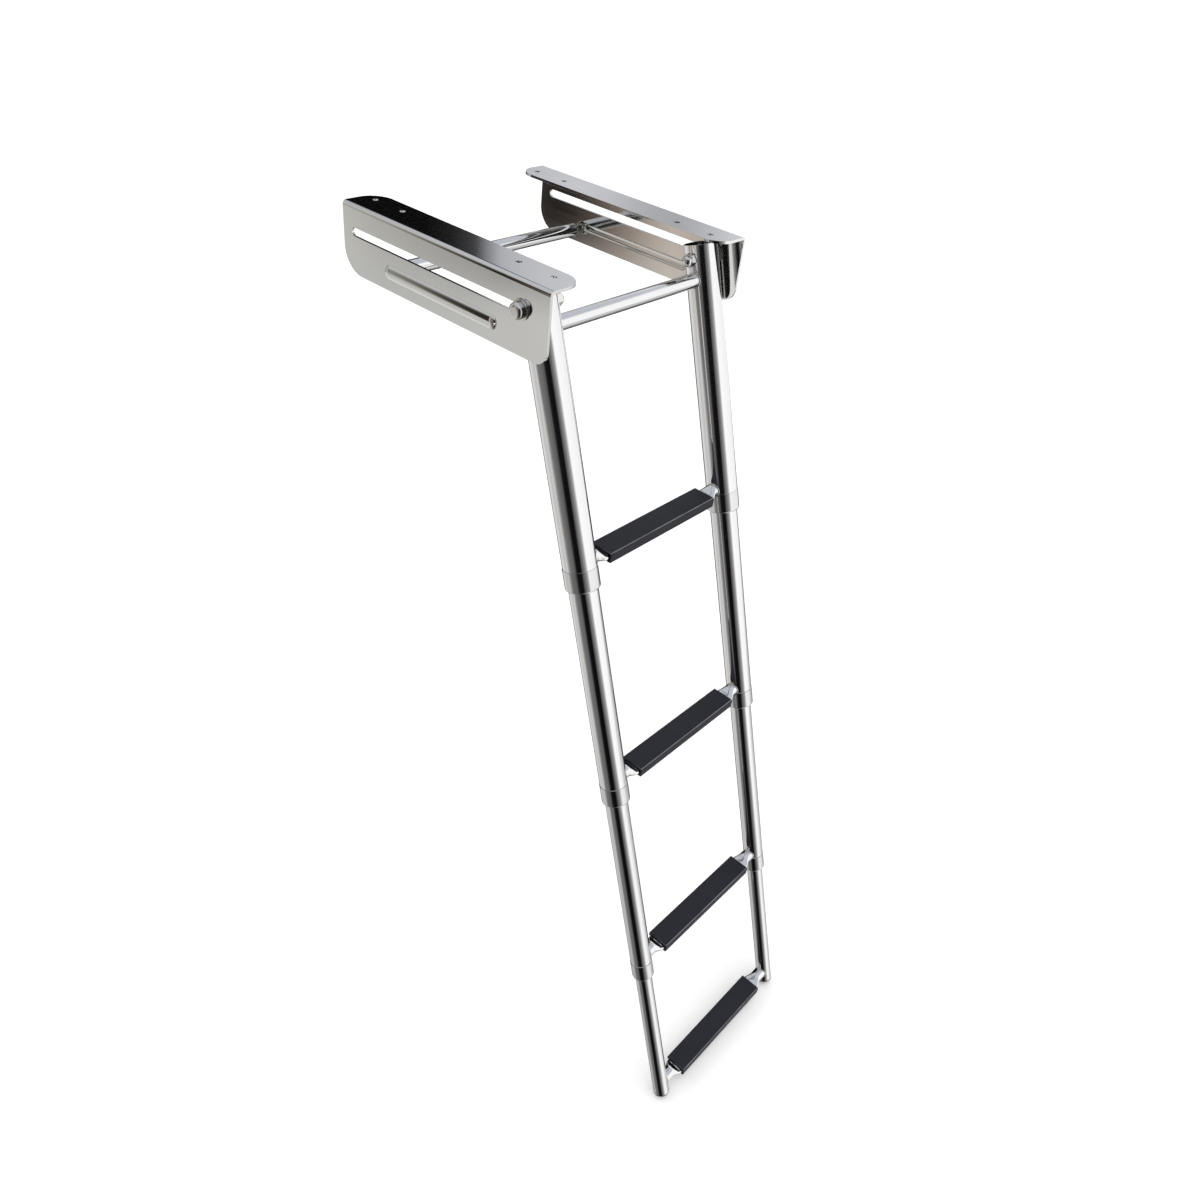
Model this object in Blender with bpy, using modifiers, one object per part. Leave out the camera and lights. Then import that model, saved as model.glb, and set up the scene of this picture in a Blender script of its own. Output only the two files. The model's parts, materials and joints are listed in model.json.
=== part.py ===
"""Boat boarding ladder that slides out from under a swim platform.

Two slotted angle brackets screw up under the platform. Two pivot bolts slide in their slots and
carry a four-section telescoping ladder, which swings down at the front end of the slots.

Metres, +Z up. X is the width of the ladder, -Y points away from the boat, and the origin lies in
the plane of the flange tops, at the middle of the bracket footprint.
"""

import math

import bmesh
import bpy
from mathutils import Matrix
from mathutils import Vector

# Clearances
FIT_GAP = 0.0003
STOP_GAP = 0.0005

# Mounting brackets: angle plates with a long slot and a pressed stiffening rib
BRACKET_LENGTH = 0.309
BRACKET_HEIGHT = 0.074
FLANGE_WIDTH = 0.047
PLATE_THICKNESS = 0.003
BEND_RADIUS = 0.005
FLANGE_CORNER_RADIUS = 0.024
WEB_BACK_RADIUS = 0.028
WEB_FRONT_RADIUS = 0.016
SCREW_HOLE_DIAMETER = 0.0065
SCREW_HOLE_INSET = 0.030
SCREW_HOLES_FROM_FRONT = (0.026, 0.073)
SCREW_HOLES_FROM_BACK = (0.017, 0.062)

# Slot and pivot
PIVOT_SETBACK = 0.037
PIVOT_DROP = 0.0285
SLOT_WIDTH = 0.0092
SLOT_TRAVEL = 0.253
BOLT_DIAMETER = 0.008
BOLT_HEAD_DIAMETER = 0.017
BOLT_HEAD_HEIGHT = 0.0075
WASHER_DIAMETER = 0.021
WASHER_THICKNESS = 0.0015
NUT_ACROSS_FLATS = 0.013
NUT_HEIGHT = 0.0065
NUT_DOME = 0.0055
SPACER_DIAMETER = 0.024
SPACER_THICKNESS = 0.0014

# Pressed rib, measured back from the pivot at the slot's front end
RIB_START = 0.032
RIB_LENGTH = 0.170
RIB_BELOW_SLOT = 0.0255
RIB_HEIGHT = 0.0155
RIB_DEPTH = 0.0036

# Rear cross brace between the brackets
BRACE_DIAMETER = 0.016
BRACE_BEHIND_PIVOT = 0.207
BRACE_CLEARANCE = 0.0032
BRACE_END_LENGTH = 0.0075

# Ladder
LEAN_DEGREES = 18.0
RAIL_HALF_SPAN = 0.126
TUBE_WALL = 0.0012
TUBE_DIAMETERS = (0.038, 0.033, 0.0274, 0.0215)
RAIL_TOP_ABOVE_PIVOT = 0.015
FIRST_RUNG_DROP = 0.267
RUNG_PITCHES = (0.280, 0.280, 0.233)
FOOT_DROP = 0.016
FOOT_DOME = 0.004
FOOT_SPIGOT = 0.012
CROSSBAR_DIAMETER = 0.016
CROSSBAR_DROP = 0.022

# Rungs: round tube pressed flat under the tread
RUNG_DIAMETER = 0.017
RUNG_FLAT_WIDTH = 0.0245
RUNG_FLAT_HEIGHT = 0.008
RUNG_FLAT_DROP = 0.0035
RUNG_ROUND_END = 0.002
RUNG_TAPER_LENGTH = 0.0115

# Treads: plastic channels snapped over the flattened rungs
TREAD_END_MARGIN = 0.0025
TREAD_WALL = 0.0024
TREAD_LIP_BELOW = 0.0020
TREAD_HOOK = 0.0040
TREAD_BACK_LIP = 0.0065

# Telescoping joints
COLLAR_HEIGHT = 0.021
COLLAR_STEP = 0.0005
COLLAR_LIP = 0.002
COLLAR_ROUNDING = 0.003
COLLAR_BUSH_WALL = 0.0011
GUIDE_LENGTH = 0.022

SEGMENTS = 28
SMALL_SEGMENTS = 20
RUNG_SEGMENTS = 16

SECTIONS = ("top", "second", "third", "fourth")
SIDES = (("left", -1), ("right", 1))

# Places that several pieces share
BRACKET_FRONT = -BRACKET_LENGTH / 2
PIVOT_Y = BRACKET_FRONT + PIVOT_SETBACK
PIVOT_Z = -PIVOT_DROP
TOP_TUBE_RADIUS = TUBE_DIAMETERS[0] / 2
WEB_INNER = RAIL_HALF_SPAN + TOP_TUBE_RADIUS + FIT_GAP + SPACER_THICKNESS + FIT_GAP
WEB_HALF_SPAN = WEB_INNER + PLATE_THICKNESS
BRACE_BELOW_SLOT = TOP_TUBE_RADIUS + BRACE_DIAMETER / 2 + BRACE_CLEARANCE
RUNG_RADIUS = RUNG_DIAMETER / 2
RUNG_FLAT_HALF_LENGTH = RAIL_HALF_SPAN - TOP_TUBE_RADIUS - RUNG_ROUND_END - RUNG_TAPER_LENGTH
TREAD_HALF_LENGTH = RUNG_FLAT_HALF_LENGTH - TREAD_END_MARGIN
TUBE_END_DROP = RUNG_RADIUS + FIT_GAP

# Colours: linear base colour, metallic, roughness
POLISHED_STEEL = ((0.80, 0.79, 0.78), 1.0, 0.10)
BRUSHED_STEEL = ((0.72, 0.71, 0.69), 1.0, 0.28)
SATIN_STEEL = ((0.58, 0.58, 0.58), 1.0, 0.38)
TREAD_PLASTIC = ((0.028, 0.029, 0.034), 0.0, 0.55)
NYLON = ((0.16, 0.16, 0.165), 0.0, 0.50)


def clear_scene():
    for obj in list(bpy.data.objects):
        bpy.data.objects.remove(obj, do_unlink=True)


def new_collection(name):
    collection = bpy.data.collections.new(name)
    bpy.context.scene.collection.children.link(collection)
    return collection


def material(name, look):
    colour, metallic, roughness = look
    made = bpy.data.materials.new(name)
    made.use_nodes = True
    shader = made.node_tree.nodes["Principled BSDF"]
    shader.inputs["Base Color"].default_value = (*colour, 1.0)
    shader.inputs["Metallic"].default_value = metallic
    shader.inputs["Roughness"].default_value = roughness
    return made


def place(obj, frame=None, location=(0.0, 0.0, 0.0), rotation=(0.0, 0.0, 0.0)):
    """Give an object its place, in its parent's frame when it has one."""
    obj.parent = frame
    obj.location = location
    obj.rotation_euler = rotation
    return obj


def evaluated_mesh(obj):
    bpy.context.view_layer.update()
    depsgraph = bpy.context.evaluated_depsgraph_get()
    mesh = bpy.data.meshes.new_from_object(obj.evaluated_get(depsgraph))
    return mesh


def weld(mesh):
    bm = bmesh.new()
    bm.from_mesh(mesh)
    bmesh.ops.remove_doubles(bm, verts=bm.verts, dist=0.000001)
    bm.to_mesh(mesh)
    bm.free()


def bake(obj):
    """Turn an object's modifiers into its mesh and set the shading of its edges."""
    mesh = evaluated_mesh(obj)
    obj.modifiers.clear()
    obj.data = mesh
    mesh.name = obj.name
    mesh.shade_smooth()
    mesh.set_sharp_from_angle(angle=math.radians(30))
    return obj


def object_from_bmesh(bm, name, collection):
    mesh = bpy.data.meshes.new(name)
    bm.to_mesh(mesh)
    bm.free()
    obj = bpy.data.objects.new(name, mesh)
    collection.objects.link(obj)
    return obj


def boolean(obj, tool, operation="DIFFERENCE"):
    """Combine a tool object with obj, then drop the tool."""
    modifier = obj.modifiers.new(tool.name, "BOOLEAN")
    modifier.operation = operation
    modifier.object = tool
    bake(obj)
    bpy.data.objects.remove(tool, do_unlink=True)
    return obj


def as_cutter(obj):
    obj.hide_render = True
    obj.display_type = "WIRE"
    return obj


def filleted(points, radii, steps=6):
    """Round the corners of a closed outline, each with its own radius."""
    outline = []
    count = len(points)
    for index, corner in enumerate(points):
        radius = radii[index]
        here = Vector(corner)
        if radius <= 0:
            outline.append(here)
            continue
        before = (Vector(points[index - 1]) - here).normalized()
        after = (Vector(points[(index + 1) % count]) - here).normalized()
        half_angle = before.angle(after) / 2
        reach = radius / math.tan(half_angle)
        centre = here + (before + after).normalized() * (radius / math.sin(half_angle))
        start = here + before * reach - centre
        end = here + after * reach - centre
        sweep = start.angle_signed(end)
        for step in range(steps + 1):
            turn = Matrix.Rotation(-sweep * step / steps, 2)
            outline.append(centre + turn @ start)
    return outline


def plate(name, outline, thickness, collection, turn=None):
    """Extrude a closed 2D outline, centred on its own plane, and turn it into place."""
    curve = bpy.data.curves.new(name, "CURVE")
    curve.dimensions = "2D"
    curve.fill_mode = "BOTH"
    curve.extrude = thickness / 2
    spline = curve.splines.new("POLY")
    spline.points.add(len(outline) - 1)
    for point, corner in zip(spline.points, outline):
        point.co = (corner[0], corner[1], 0.0, 1.0)
    spline.use_cyclic_u = True
    shape = bpy.data.objects.new(name + "_outline", curve)
    collection.objects.link(shape)
    mesh = evaluated_mesh(shape)
    weld(mesh)
    bpy.data.objects.remove(shape, do_unlink=True)
    bpy.data.curves.remove(curve)
    if turn is not None:
        mesh.transform(turn)
    obj = bpy.data.objects.new(name, mesh)
    collection.objects.link(obj)
    return obj


def rod(name, radius, length, collection, axis="Z", centre=(0.0, 0.0, 0.0), segments=SEGMENTS):
    """A plain cylinder along one axis; six segments make a hexagon bar."""
    bm = bmesh.new()
    bmesh.ops.create_cone(
        bm, cap_ends=True, segments=segments, radius1=radius, radius2=radius, depth=length
    )
    if axis == "X":
        bm.transform(Matrix.Rotation(math.radians(90), 4, "Y"))
    if axis == "Y":
        bm.transform(Matrix.Rotation(math.radians(90), 4, "X"))
    bm.transform(Matrix.Translation(centre))
    return object_from_bmesh(bm, name, collection)


def turned(name, profile, collection, segments=SEGMENTS, closed=True):
    """Turn a profile of (radius, height) about Z; it runs down its outer side."""
    bm = bmesh.new()
    verts = [bm.verts.new((radius, 0.0, height)) for radius, height in profile]
    for first, second in zip(verts, verts[1:]):
        bm.edges.new((first, second))
    if closed:
        bm.edges.new((verts[-1], verts[0]))
    obj = object_from_bmesh(bm, name, collection)
    screw = obj.modifiers.new("Turn", "SCREW")
    screw.steps = segments
    screw.render_steps = segments
    screw.use_merge_vertices = True
    screw.merge_threshold = 0.000001
    return bake(obj)


def ring(name, outer, inner, bottom, top, collection, segments=SEGMENTS):
    profile = ((outer, top), (outer, bottom), (inner, bottom), (inner, top))
    return turned(name, profile, collection, segments)


def loft(name, rings, collection):
    """Skin a closed solid over rings of matching points."""
    bm = bmesh.new()
    layers = [[bm.verts.new(point) for point in points] for points in rings]
    for lower, upper in zip(layers, layers[1:]):
        count = len(lower)
        for index in range(count):
            following = (index + 1) % count
            bm.faces.new((lower[index], lower[following], upper[following], upper[index]))
    bm.faces.new(list(reversed(layers[0])))
    bm.faces.new(layers[-1])
    bmesh.ops.recalc_face_normals(bm, faces=bm.faces)
    return object_from_bmesh(bm, name, collection)


def facing_x(side):
    """Turn a piece modelled along +Z so that it points out through its own web."""
    return (0.0, side * math.radians(90), 0.0)


def bracket(name, side, collection, cutters):
    """Angle plate: flange inwards, web outside, slot, pressed rib and screw holes."""
    back = BRACKET_FRONT + BRACKET_LENGTH
    flange_edge = WEB_HALF_SPAN - FLANGE_WIDTH
    inner_bend = BEND_RADIUS - PLATE_THICKNESS
    section = filleted(
        (
            (side * flange_edge, 0.0),
            (side * WEB_HALF_SPAN, 0.0),
            (side * WEB_HALF_SPAN, -BRACKET_HEIGHT),
            (side * WEB_INNER, -BRACKET_HEIGHT),
            (side * WEB_INNER, -PLATE_THICKNESS),
            (side * flange_edge, -PLATE_THICKNESS),
        ),
        (0.0, BEND_RADIUS, 0.0, 0.0, inner_bend, 0.0),
    )
    end_on = Matrix.Rotation(math.radians(90), 4, "X")
    body = plate(name, section, BRACKET_LENGTH, collection, end_on)

    side_on = Matrix(((0, 0, 1, 0), (1, 0, 0, 0), (0, 1, 0, 0), (0, 0, 0, 1)))
    side_outline = filleted(
        (
            (BRACKET_FRONT, 0.001),
            (BRACKET_FRONT, -BRACKET_HEIGHT),
            (back, -BRACKET_HEIGHT),
            (back, 0.001),
        ),
        (0.0, WEB_FRONT_RADIUS, WEB_BACK_RADIUS, 0.0),
        steps=10,
    )
    side_form = plate("side_form", side_outline, 4 * WEB_HALF_SPAN, cutters, side_on)
    boolean(body, as_cutter(side_form), "INTERSECT")

    beyond_web = WEB_HALF_SPAN + 2 * RIB_DEPTH
    top_outline = filleted(
        (
            (side * beyond_web, BRACKET_FRONT),
            (side * flange_edge, BRACKET_FRONT),
            (side * flange_edge, back),
            (side * beyond_web, back),
        ),
        (0.0, FLANGE_CORNER_RADIUS, FLANGE_CORNER_RADIUS, 0.0),
        steps=10,
    )
    top_form = plate("top_form", top_outline, 3 * BRACKET_HEIGHT, cutters)
    boolean(body, as_cutter(top_form), "INTERSECT")

    rib_z = PIVOT_Z - RIB_BELOW_SLOT
    rib_front = PIVOT_Y + RIB_START
    add_rib(body, side, rib_front, rib_z, cutters)

    slot_back = PIVOT_Y + SLOT_TRAVEL
    half_slot = SLOT_WIDTH / 2
    slot_outline = filleted(
        (
            (PIVOT_Y - half_slot, PIVOT_Z - half_slot),
            (slot_back + half_slot, PIVOT_Z - half_slot),
            (slot_back + half_slot, PIVOT_Z + half_slot),
            (PIVOT_Y - half_slot, PIVOT_Z + half_slot),
        ),
        (half_slot * 0.999,) * 4,
    )
    slot = plate("slot", slot_outline, 4 * WEB_HALF_SPAN, cutters, side_on)
    boolean(body, as_cutter(slot))

    hole_x = side * (WEB_HALF_SPAN - SCREW_HOLE_INSET)
    hole_places = [BRACKET_FRONT + distance for distance in SCREW_HOLES_FROM_FRONT]
    hole_places += [back - distance for distance in SCREW_HOLES_FROM_BACK]
    for hole_y in hole_places:
        drill = rod(
            "drill",
            SCREW_HOLE_DIAMETER / 2,
            4 * PLATE_THICKNESS,
            cutters,
            centre=(hole_x, hole_y, 0.0),
            segments=20,
        )
        boolean(body, as_cutter(drill))
    return body


def add_rib(body, side, front, height, cutters):
    """Press the rib: a bulge outside, its groove inside, open at the front end."""
    straight = RIB_LENGTH - RIB_HEIGHT / 2
    inner_height = RIB_HEIGHT - 2 * PLATE_THICKNESS * 0.7
    outer = capsule(
        "rib_outside",
        (RIB_DEPTH, straight, RIB_HEIGHT / 2),
        (side * WEB_HALF_SPAN, front, height),
        cutters,
    )
    boolean(body, as_cutter(outer), "UNION")
    groove = capsule(
        "rib_inside",
        (RIB_DEPTH, straight + PLATE_THICKNESS, inner_height / 2),
        (side * WEB_INNER, front - PLATE_THICKNESS, height),
        cutters,
    )
    boolean(body, as_cutter(groove))


def capsule(name, size, start, cutters):
    """Half-round bar along +Y with a flat front end and a round back end."""
    depth, straight, half_height = size
    steps = 8
    rings = []
    for station in range(steps + 2):
        if station == 0:
            along = 0.0
            shrink = 1.0
        else:
            angle = math.radians(84) * (station - 1) / steps
            along = straight + half_height * math.sin(angle)
            shrink = math.cos(angle)
        points = []
        for index in range(SMALL_SEGMENTS):
            turn = 2 * math.pi * index / SMALL_SEGMENTS
            offset = (
                depth * shrink * math.cos(turn),
                along,
                half_height * shrink * math.sin(turn),
            )
            points.append(Vector(start) + Vector(offset))
        rings.append(points)
    return loft(name, rings, cutters)


def cross_brace(name, collection):
    """Fixed tube between the webs, just below the path of the stowed rails."""
    half_length = WEB_INNER - FIT_GAP - BRACE_END_LENGTH - FIT_GAP
    outer = BRACE_DIAMETER / 2
    brace = ring(name, outer, outer - TUBE_WALL, -half_length, half_length, collection)
    location = (0.0, PIVOT_Y + BRACE_BEHIND_PIVOT, PIVOT_Z - BRACE_BELOW_SLOT)
    return place(brace, location=location, rotation=facing_x(1))


def brace_end(name, side, collection, cutters):
    """Hexagon boss against the web, with a spigot that carries the brace tube."""
    hexagon_radius = NUT_ACROSS_FLATS / math.sqrt(3)
    spigot_radius = BRACE_DIAMETER / 2 - TUBE_WALL - FIT_GAP
    spigot_length = 2 * BRACE_END_LENGTH
    boss = rod(name, hexagon_radius, BRACE_END_LENGTH, collection, segments=6)
    spigot = rod(
        "spigot",
        spigot_radius,
        spigot_length,
        cutters,
        centre=(0.0, 0.0, -spigot_length / 2),
        segments=SMALL_SEGMENTS,
    )
    boolean(boss, as_cutter(spigot), "UNION")
    x = side * (WEB_INNER - FIT_GAP - BRACE_END_LENGTH / 2)
    location = (x, PIVOT_Y + BRACE_BEHIND_PIVOT, PIVOT_Z - BRACE_BELOW_SLOT)
    return place(boss, location=location, rotation=facing_x(side))


def pivot_bolt(name, side, frame, collection):
    """Round-headed bolt: head outside the web, end inside the cap nut."""
    head_radius = BOLT_HEAD_DIAMETER / 2
    shank_radius = BOLT_DIAMETER / 2
    under_head = WEB_HALF_SPAN + FIT_GAP + WASHER_THICKNESS + FIT_GAP
    tip = nut_seat() - NUT_HEIGHT
    rim = BOLT_HEAD_HEIGHT * 0.4
    profile = [(0.0, BOLT_HEAD_HEIGHT)]
    steps = 6
    for step in range(1, steps + 1):
        angle = math.radians(90) * step / steps
        crown = (BOLT_HEAD_HEIGHT - rim) * math.cos(angle)
        profile.append((head_radius * math.sin(angle), rim + crown))
    profile.append((head_radius, 0.0))
    profile.append((shank_radius, 0.0))
    profile.append((shank_radius, tip - under_head))
    profile.append((0.0, tip - under_head))
    bolt = turned(name, profile, collection, SMALL_SEGMENTS, closed=False)
    return place(bolt, frame, (side * under_head, 0.0, 0.0), facing_x(side))


def nut_seat():
    """Distance from the centre plane to the outer face of the cap nut."""
    return RAIL_HALF_SPAN - TOP_TUBE_RADIUS - FIT_GAP


def pivot_washer(name, side, frame, collection):
    hole = BOLT_DIAMETER / 2 + FIT_GAP
    washer = ring(
        name, WASHER_DIAMETER / 2, hole, 0.0, WASHER_THICKNESS, collection, SMALL_SEGMENTS
    )
    return place(washer, frame, (side * (WEB_HALF_SPAN + FIT_GAP), 0.0, 0.0), facing_x(side))


def slide_spacer(name, side, frame, collection):
    """Nylon washer that keeps the rail off the inside of the web."""
    start = RAIL_HALF_SPAN + TOP_TUBE_RADIUS + FIT_GAP
    hole = BOLT_DIAMETER / 2 + FIT_GAP
    spacer = ring(
        name, SPACER_DIAMETER / 2, hole, 0.0, SPACER_THICKNESS, collection, SMALL_SEGMENTS
    )
    return place(spacer, frame, (side * start, 0.0, 0.0), facing_x(side))


def cap_nut(name, side, frame, collection, cutters):
    """Domed hexagon nut on the inner side of the top rail."""
    hexagon_radius = NUT_ACROSS_FLATS / math.sqrt(3)
    dome_radius = NUT_ACROSS_FLATS / 2 * 0.95
    nut = rod(
        name,
        hexagon_radius,
        NUT_HEIGHT,
        collection,
        centre=(0.0, 0.0, -NUT_HEIGHT / 2),
        segments=6,
    )
    profile = [(0.0, -NUT_HEIGHT / 2), (dome_radius, -NUT_HEIGHT / 2)]
    steps = 6
    for step in range(steps + 1):
        angle = math.radians(90) * step / steps
        profile.append((dome_radius * math.cos(angle), -NUT_HEIGHT - NUT_DOME * math.sin(angle)))
    dome = turned("dome", profile, cutters, SMALL_SEGMENTS, closed=False)
    boolean(nut, as_cutter(dome), "UNION")
    bore_length = NUT_HEIGHT + 2 * FIT_GAP
    bore = rod(
        "bore",
        BOLT_DIAMETER / 2 + FIT_GAP,
        2 * bore_length,
        cutters,
        segments=SMALL_SEGMENTS,
    )
    boolean(nut, as_cutter(bore))
    return place(nut, frame, (side * nut_seat(), 0.0, 0.0), facing_x(side))


def tube_top(index):
    """Height of a section's tube ends above its own rung."""
    if index == 0:
        return FIRST_RUNG_DROP + RAIL_TOP_ABOVE_PIVOT
    return RUNG_PITCHES[index - 1] - TUBE_END_DROP + GUIDE_LENGTH


def tube_bottom(index):
    """Height of a section's lower tube ends, below its own rung."""
    if index == len(SECTIONS) - 1:
        return -FOOT_DROP
    return -TUBE_END_DROP


def rail(name, index, side, frame, collection, cutters):
    outer = TUBE_DIAMETERS[index] / 2
    tube = ring(
        name, outer, outer - TUBE_WALL, tube_bottom(index), tube_top(index), collection
    )
    if index == 0:
        hole = rod(
            "pivot_hole",
            BOLT_DIAMETER / 2 + FIT_GAP,
            2 * TUBE_DIAMETERS[0],
            cutters,
            axis="X",
            centre=(0.0, 0.0, FIRST_RUNG_DROP),
            segments=SMALL_SEGMENTS,
        )
        boolean(tube, as_cutter(hole))
    return place(tube, frame, (side * RAIL_HALF_SPAN, 0.0, 0.0))


def cope(obj, index, cutters):
    """Shape both ends of a cross tube to the rails of one section."""
    radius = TUBE_DIAMETERS[index] / 2 + FIT_GAP
    for side in (-1, 1):
        tool = rod(
            "cope",
            radius,
            4 * RUNG_DIAMETER,
            cutters,
            centre=(side * RAIL_HALF_SPAN, 0.0, 0.0),
            segments=SEGMENTS,
        )
        boolean(obj, as_cutter(tool))
    return obj


def crossbar(name, frame, collection, cutters):
    """Tube welded between the top rails, just below the pivots."""
    outer = CROSSBAR_DIAMETER / 2
    bar = ring(name, outer, outer - TUBE_WALL, -RAIL_HALF_SPAN, RAIL_HALF_SPAN, collection)
    bar.data.transform(Matrix.Rotation(math.radians(90), 4, "Y"))
    cope(bar, 0, cutters)
    return place(bar, frame, (0.0, 0.0, FIRST_RUNG_DROP - CROSSBAR_DROP))


def level(x, y, z):
    """A point of a level tread, given in the frame of the section that leans under it."""
    turn = math.radians(LEAN_DEGREES)
    return (
        x,
        y * math.cos(turn) - z * math.sin(turn),
        y * math.sin(turn) + z * math.cos(turn),
    )


def rung_rings(inset, stretch):
    """Sections along a rung: round at the rails, pressed flat and low under the tread."""
    stations = []
    steps = 4
    for step in range(steps + 1):
        share = step / steps
        ease = share * share * (3 - 2 * share)
        x = RUNG_FLAT_HALF_LENGTH + RUNG_TAPER_LENGTH * share
        stations.append((x, ease))
    stations.append((RAIL_HALF_SPAN + stretch, 1.0))
    mirrored = [(-x, ease) for x, ease in reversed(stations)]
    rings = []
    for x, ease in mirrored + stations:
        half_width = (RUNG_FLAT_WIDTH + (RUNG_DIAMETER - RUNG_FLAT_WIDTH) * ease) / 2 - inset
        half_height = (RUNG_FLAT_HEIGHT + (RUNG_DIAMETER - RUNG_FLAT_HEIGHT) * ease) / 2 - inset
        power = 0.62 + 0.38 * ease
        points = []
        for index in range(RUNG_SEGMENTS):
            turn = 2 * math.pi * (index + 0.5) / RUNG_SEGMENTS
            cosine = math.cos(turn)
            sine = math.sin(turn)
            y = half_width * math.copysign(abs(cosine) ** power, cosine)
            z = half_height * math.copysign(abs(sine) ** power, sine)
            points.append(level(x, y, z - RUNG_FLAT_DROP * (1 - ease)))
        rings.append(points)
    return rings


def rung(name, index, frame, collection, cutters):
    bar = loft(name, rung_rings(0.0, 0.0), collection)
    hollow = loft("hollow", rung_rings(TUBE_WALL, 0.002), cutters)
    boolean(bar, as_cutter(hollow))
    cope(bar, index, cutters)
    return place(bar, frame)


def tread(name, frame, collection):
    """Channel over the rung: flat top, rounded front lip hooked under it, short back lip."""
    half_inside = RUNG_FLAT_WIDTH / 2 + FIT_GAP
    half_outside = half_inside + TREAD_WALL
    under_top = RUNG_FLAT_HEIGHT / 2 + FIT_GAP
    top = under_top + TREAD_WALL
    hook_top = -RUNG_FLAT_HEIGHT / 2 - FIT_GAP
    hook_bottom = hook_top - TREAD_LIP_BELOW
    back_bottom = top - TREAD_BACK_LIP
    outline = filleted(
        (
            (half_outside, top),
            (half_outside, back_bottom),
            (half_inside, back_bottom),
            (half_inside, under_top),
            (-half_inside, under_top),
            (-half_inside, hook_top),
            (-half_inside + TREAD_HOOK, hook_top),
            (-half_inside + TREAD_HOOK, hook_bottom),
            (-half_outside, hook_bottom),
            (-half_outside, top),
        ),
        (0.0010, 0.0006, 0.0006, 0.0, 0.0, 0.0, 0.0006, 0.0006, 0.0030, 0.0030),
        steps=5,
    )
    along_x = Matrix(((0, 0, 1, 0), (1, 0, 0, 0), (0, 1, 0, 0), (0, 0, 0, 1)))
    cover = plate(name, outline, 2 * TREAD_HALF_LENGTH, collection, along_x)
    return place(
        bake(cover),
        frame,
        level(0.0, 0.0, -RUNG_FLAT_DROP),
        (math.radians(LEAN_DEGREES), 0.0, 0.0),
    )


def collar_bush_radii(index):
    """Inner and outer radius of the bush that guides the next tube."""
    inner = TUBE_DIAMETERS[index + 1] / 2 + FIT_GAP
    return inner, inner + COLLAR_BUSH_WALL


def collar(name, index, side, frame, collection):
    """Ring at a tube's lower end; its bottom lip holds the bush."""
    outer = TUBE_DIAMETERS[index] / 2 + COLLAR_STEP
    bush_inner, bush_outer = collar_bush_radii(index)
    seat = bush_outer + FIT_GAP
    top = -TUBE_END_DROP - FIT_GAP
    bottom = top - COLLAR_HEIGHT
    lip_top = bottom + COLLAR_LIP
    profile = [(outer, top)]
    steps = 3
    for step in range(steps + 1):
        angle = math.radians(90) * step / steps
        radius = outer - COLLAR_ROUNDING * (1 - math.cos(angle)) * 0.6
        height = bottom + COLLAR_ROUNDING * (1 - math.sin(angle))
        profile.append((radius, height))
    profile.append((bush_inner + FIT_GAP, bottom))
    profile.append((bush_inner + FIT_GAP, lip_top))
    profile.append((seat, lip_top))
    profile.append((seat, top))
    return place(
        turned(name, profile, collection), frame, (side * RAIL_HALF_SPAN, 0.0, 0.0)
    )


def collar_bush(name, index, side, frame, collection):
    inner, outer = collar_bush_radii(index)
    top = -TUBE_END_DROP - FIT_GAP
    bottom = top - COLLAR_HEIGHT + COLLAR_LIP + FIT_GAP
    bush = ring(name, outer, inner, bottom, top, collection)
    return place(bush, frame, (side * RAIL_HALF_SPAN, 0.0, 0.0))


def guide_bush(name, index, side, frame, collection):
    """Nylon sleeve round the top end of an inner tube; it lands on the collar bush."""
    inner = TUBE_DIAMETERS[index] / 2 + FIT_GAP
    outer = TUBE_DIAMETERS[index - 1] / 2 - TUBE_WALL - FIT_GAP
    top = tube_top(index)
    sleeve = ring(name, outer, inner, top - GUIDE_LENGTH, top, collection)
    return place(sleeve, frame, (side * RAIL_HALF_SPAN, 0.0, 0.0))


def foot_cap(name, side, frame, collection):
    """Domed plug in the lower end of the last tube."""
    last = len(SECTIONS) - 1
    outer = TUBE_DIAMETERS[last] / 2
    spigot = outer - TUBE_WALL - FIT_GAP
    face = tube_bottom(last) - FIT_GAP
    straight = FOOT_DOME * 0.35
    profile = [(0.0, face + FOOT_SPIGOT), (spigot, face + FOOT_SPIGOT), (spigot, face)]
    profile.append((outer, face))
    steps = 6
    for step in range(steps + 1):
        angle = math.radians(90) * step / steps
        height = face - straight - (FOOT_DOME - straight) * math.sin(angle)
        profile.append((outer * math.cos(angle), height))
    profile[-1] = (0.0, profile[-1][1])
    cap = turned(name, profile, collection, SMALL_SEGMENTS, closed=False)
    return place(cap, frame, (side * RAIL_HALF_SPAN, 0.0, 0.0))


def frame_empty(name, collection, parent=None, location=(0.0, 0.0, 0.0), rotation=(0.0, 0.0, 0.0)):
    empty = bpy.data.objects.new(name, None)
    empty.empty_display_size = 0.03
    collection.objects.link(empty)
    return place(empty, parent, location, rotation)


def build_mount(collection, cutters):
    steel = material("brushed_stainless", BRUSHED_STEEL)
    polished = material("polished_brace", POLISHED_STEEL)
    satin = material("satin_boss", SATIN_STEEL)
    for label, side in SIDES:
        plate_part = bracket(label + "_bracket", side, collection, cutters)
        plate_part.data.materials.append(steel)
        end = brace_end(label + "_brace_end", side, collection, cutters)
        end.data.materials.append(satin)
    brace = cross_brace("cross_brace", collection)
    brace.data.materials.append(polished)


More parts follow.
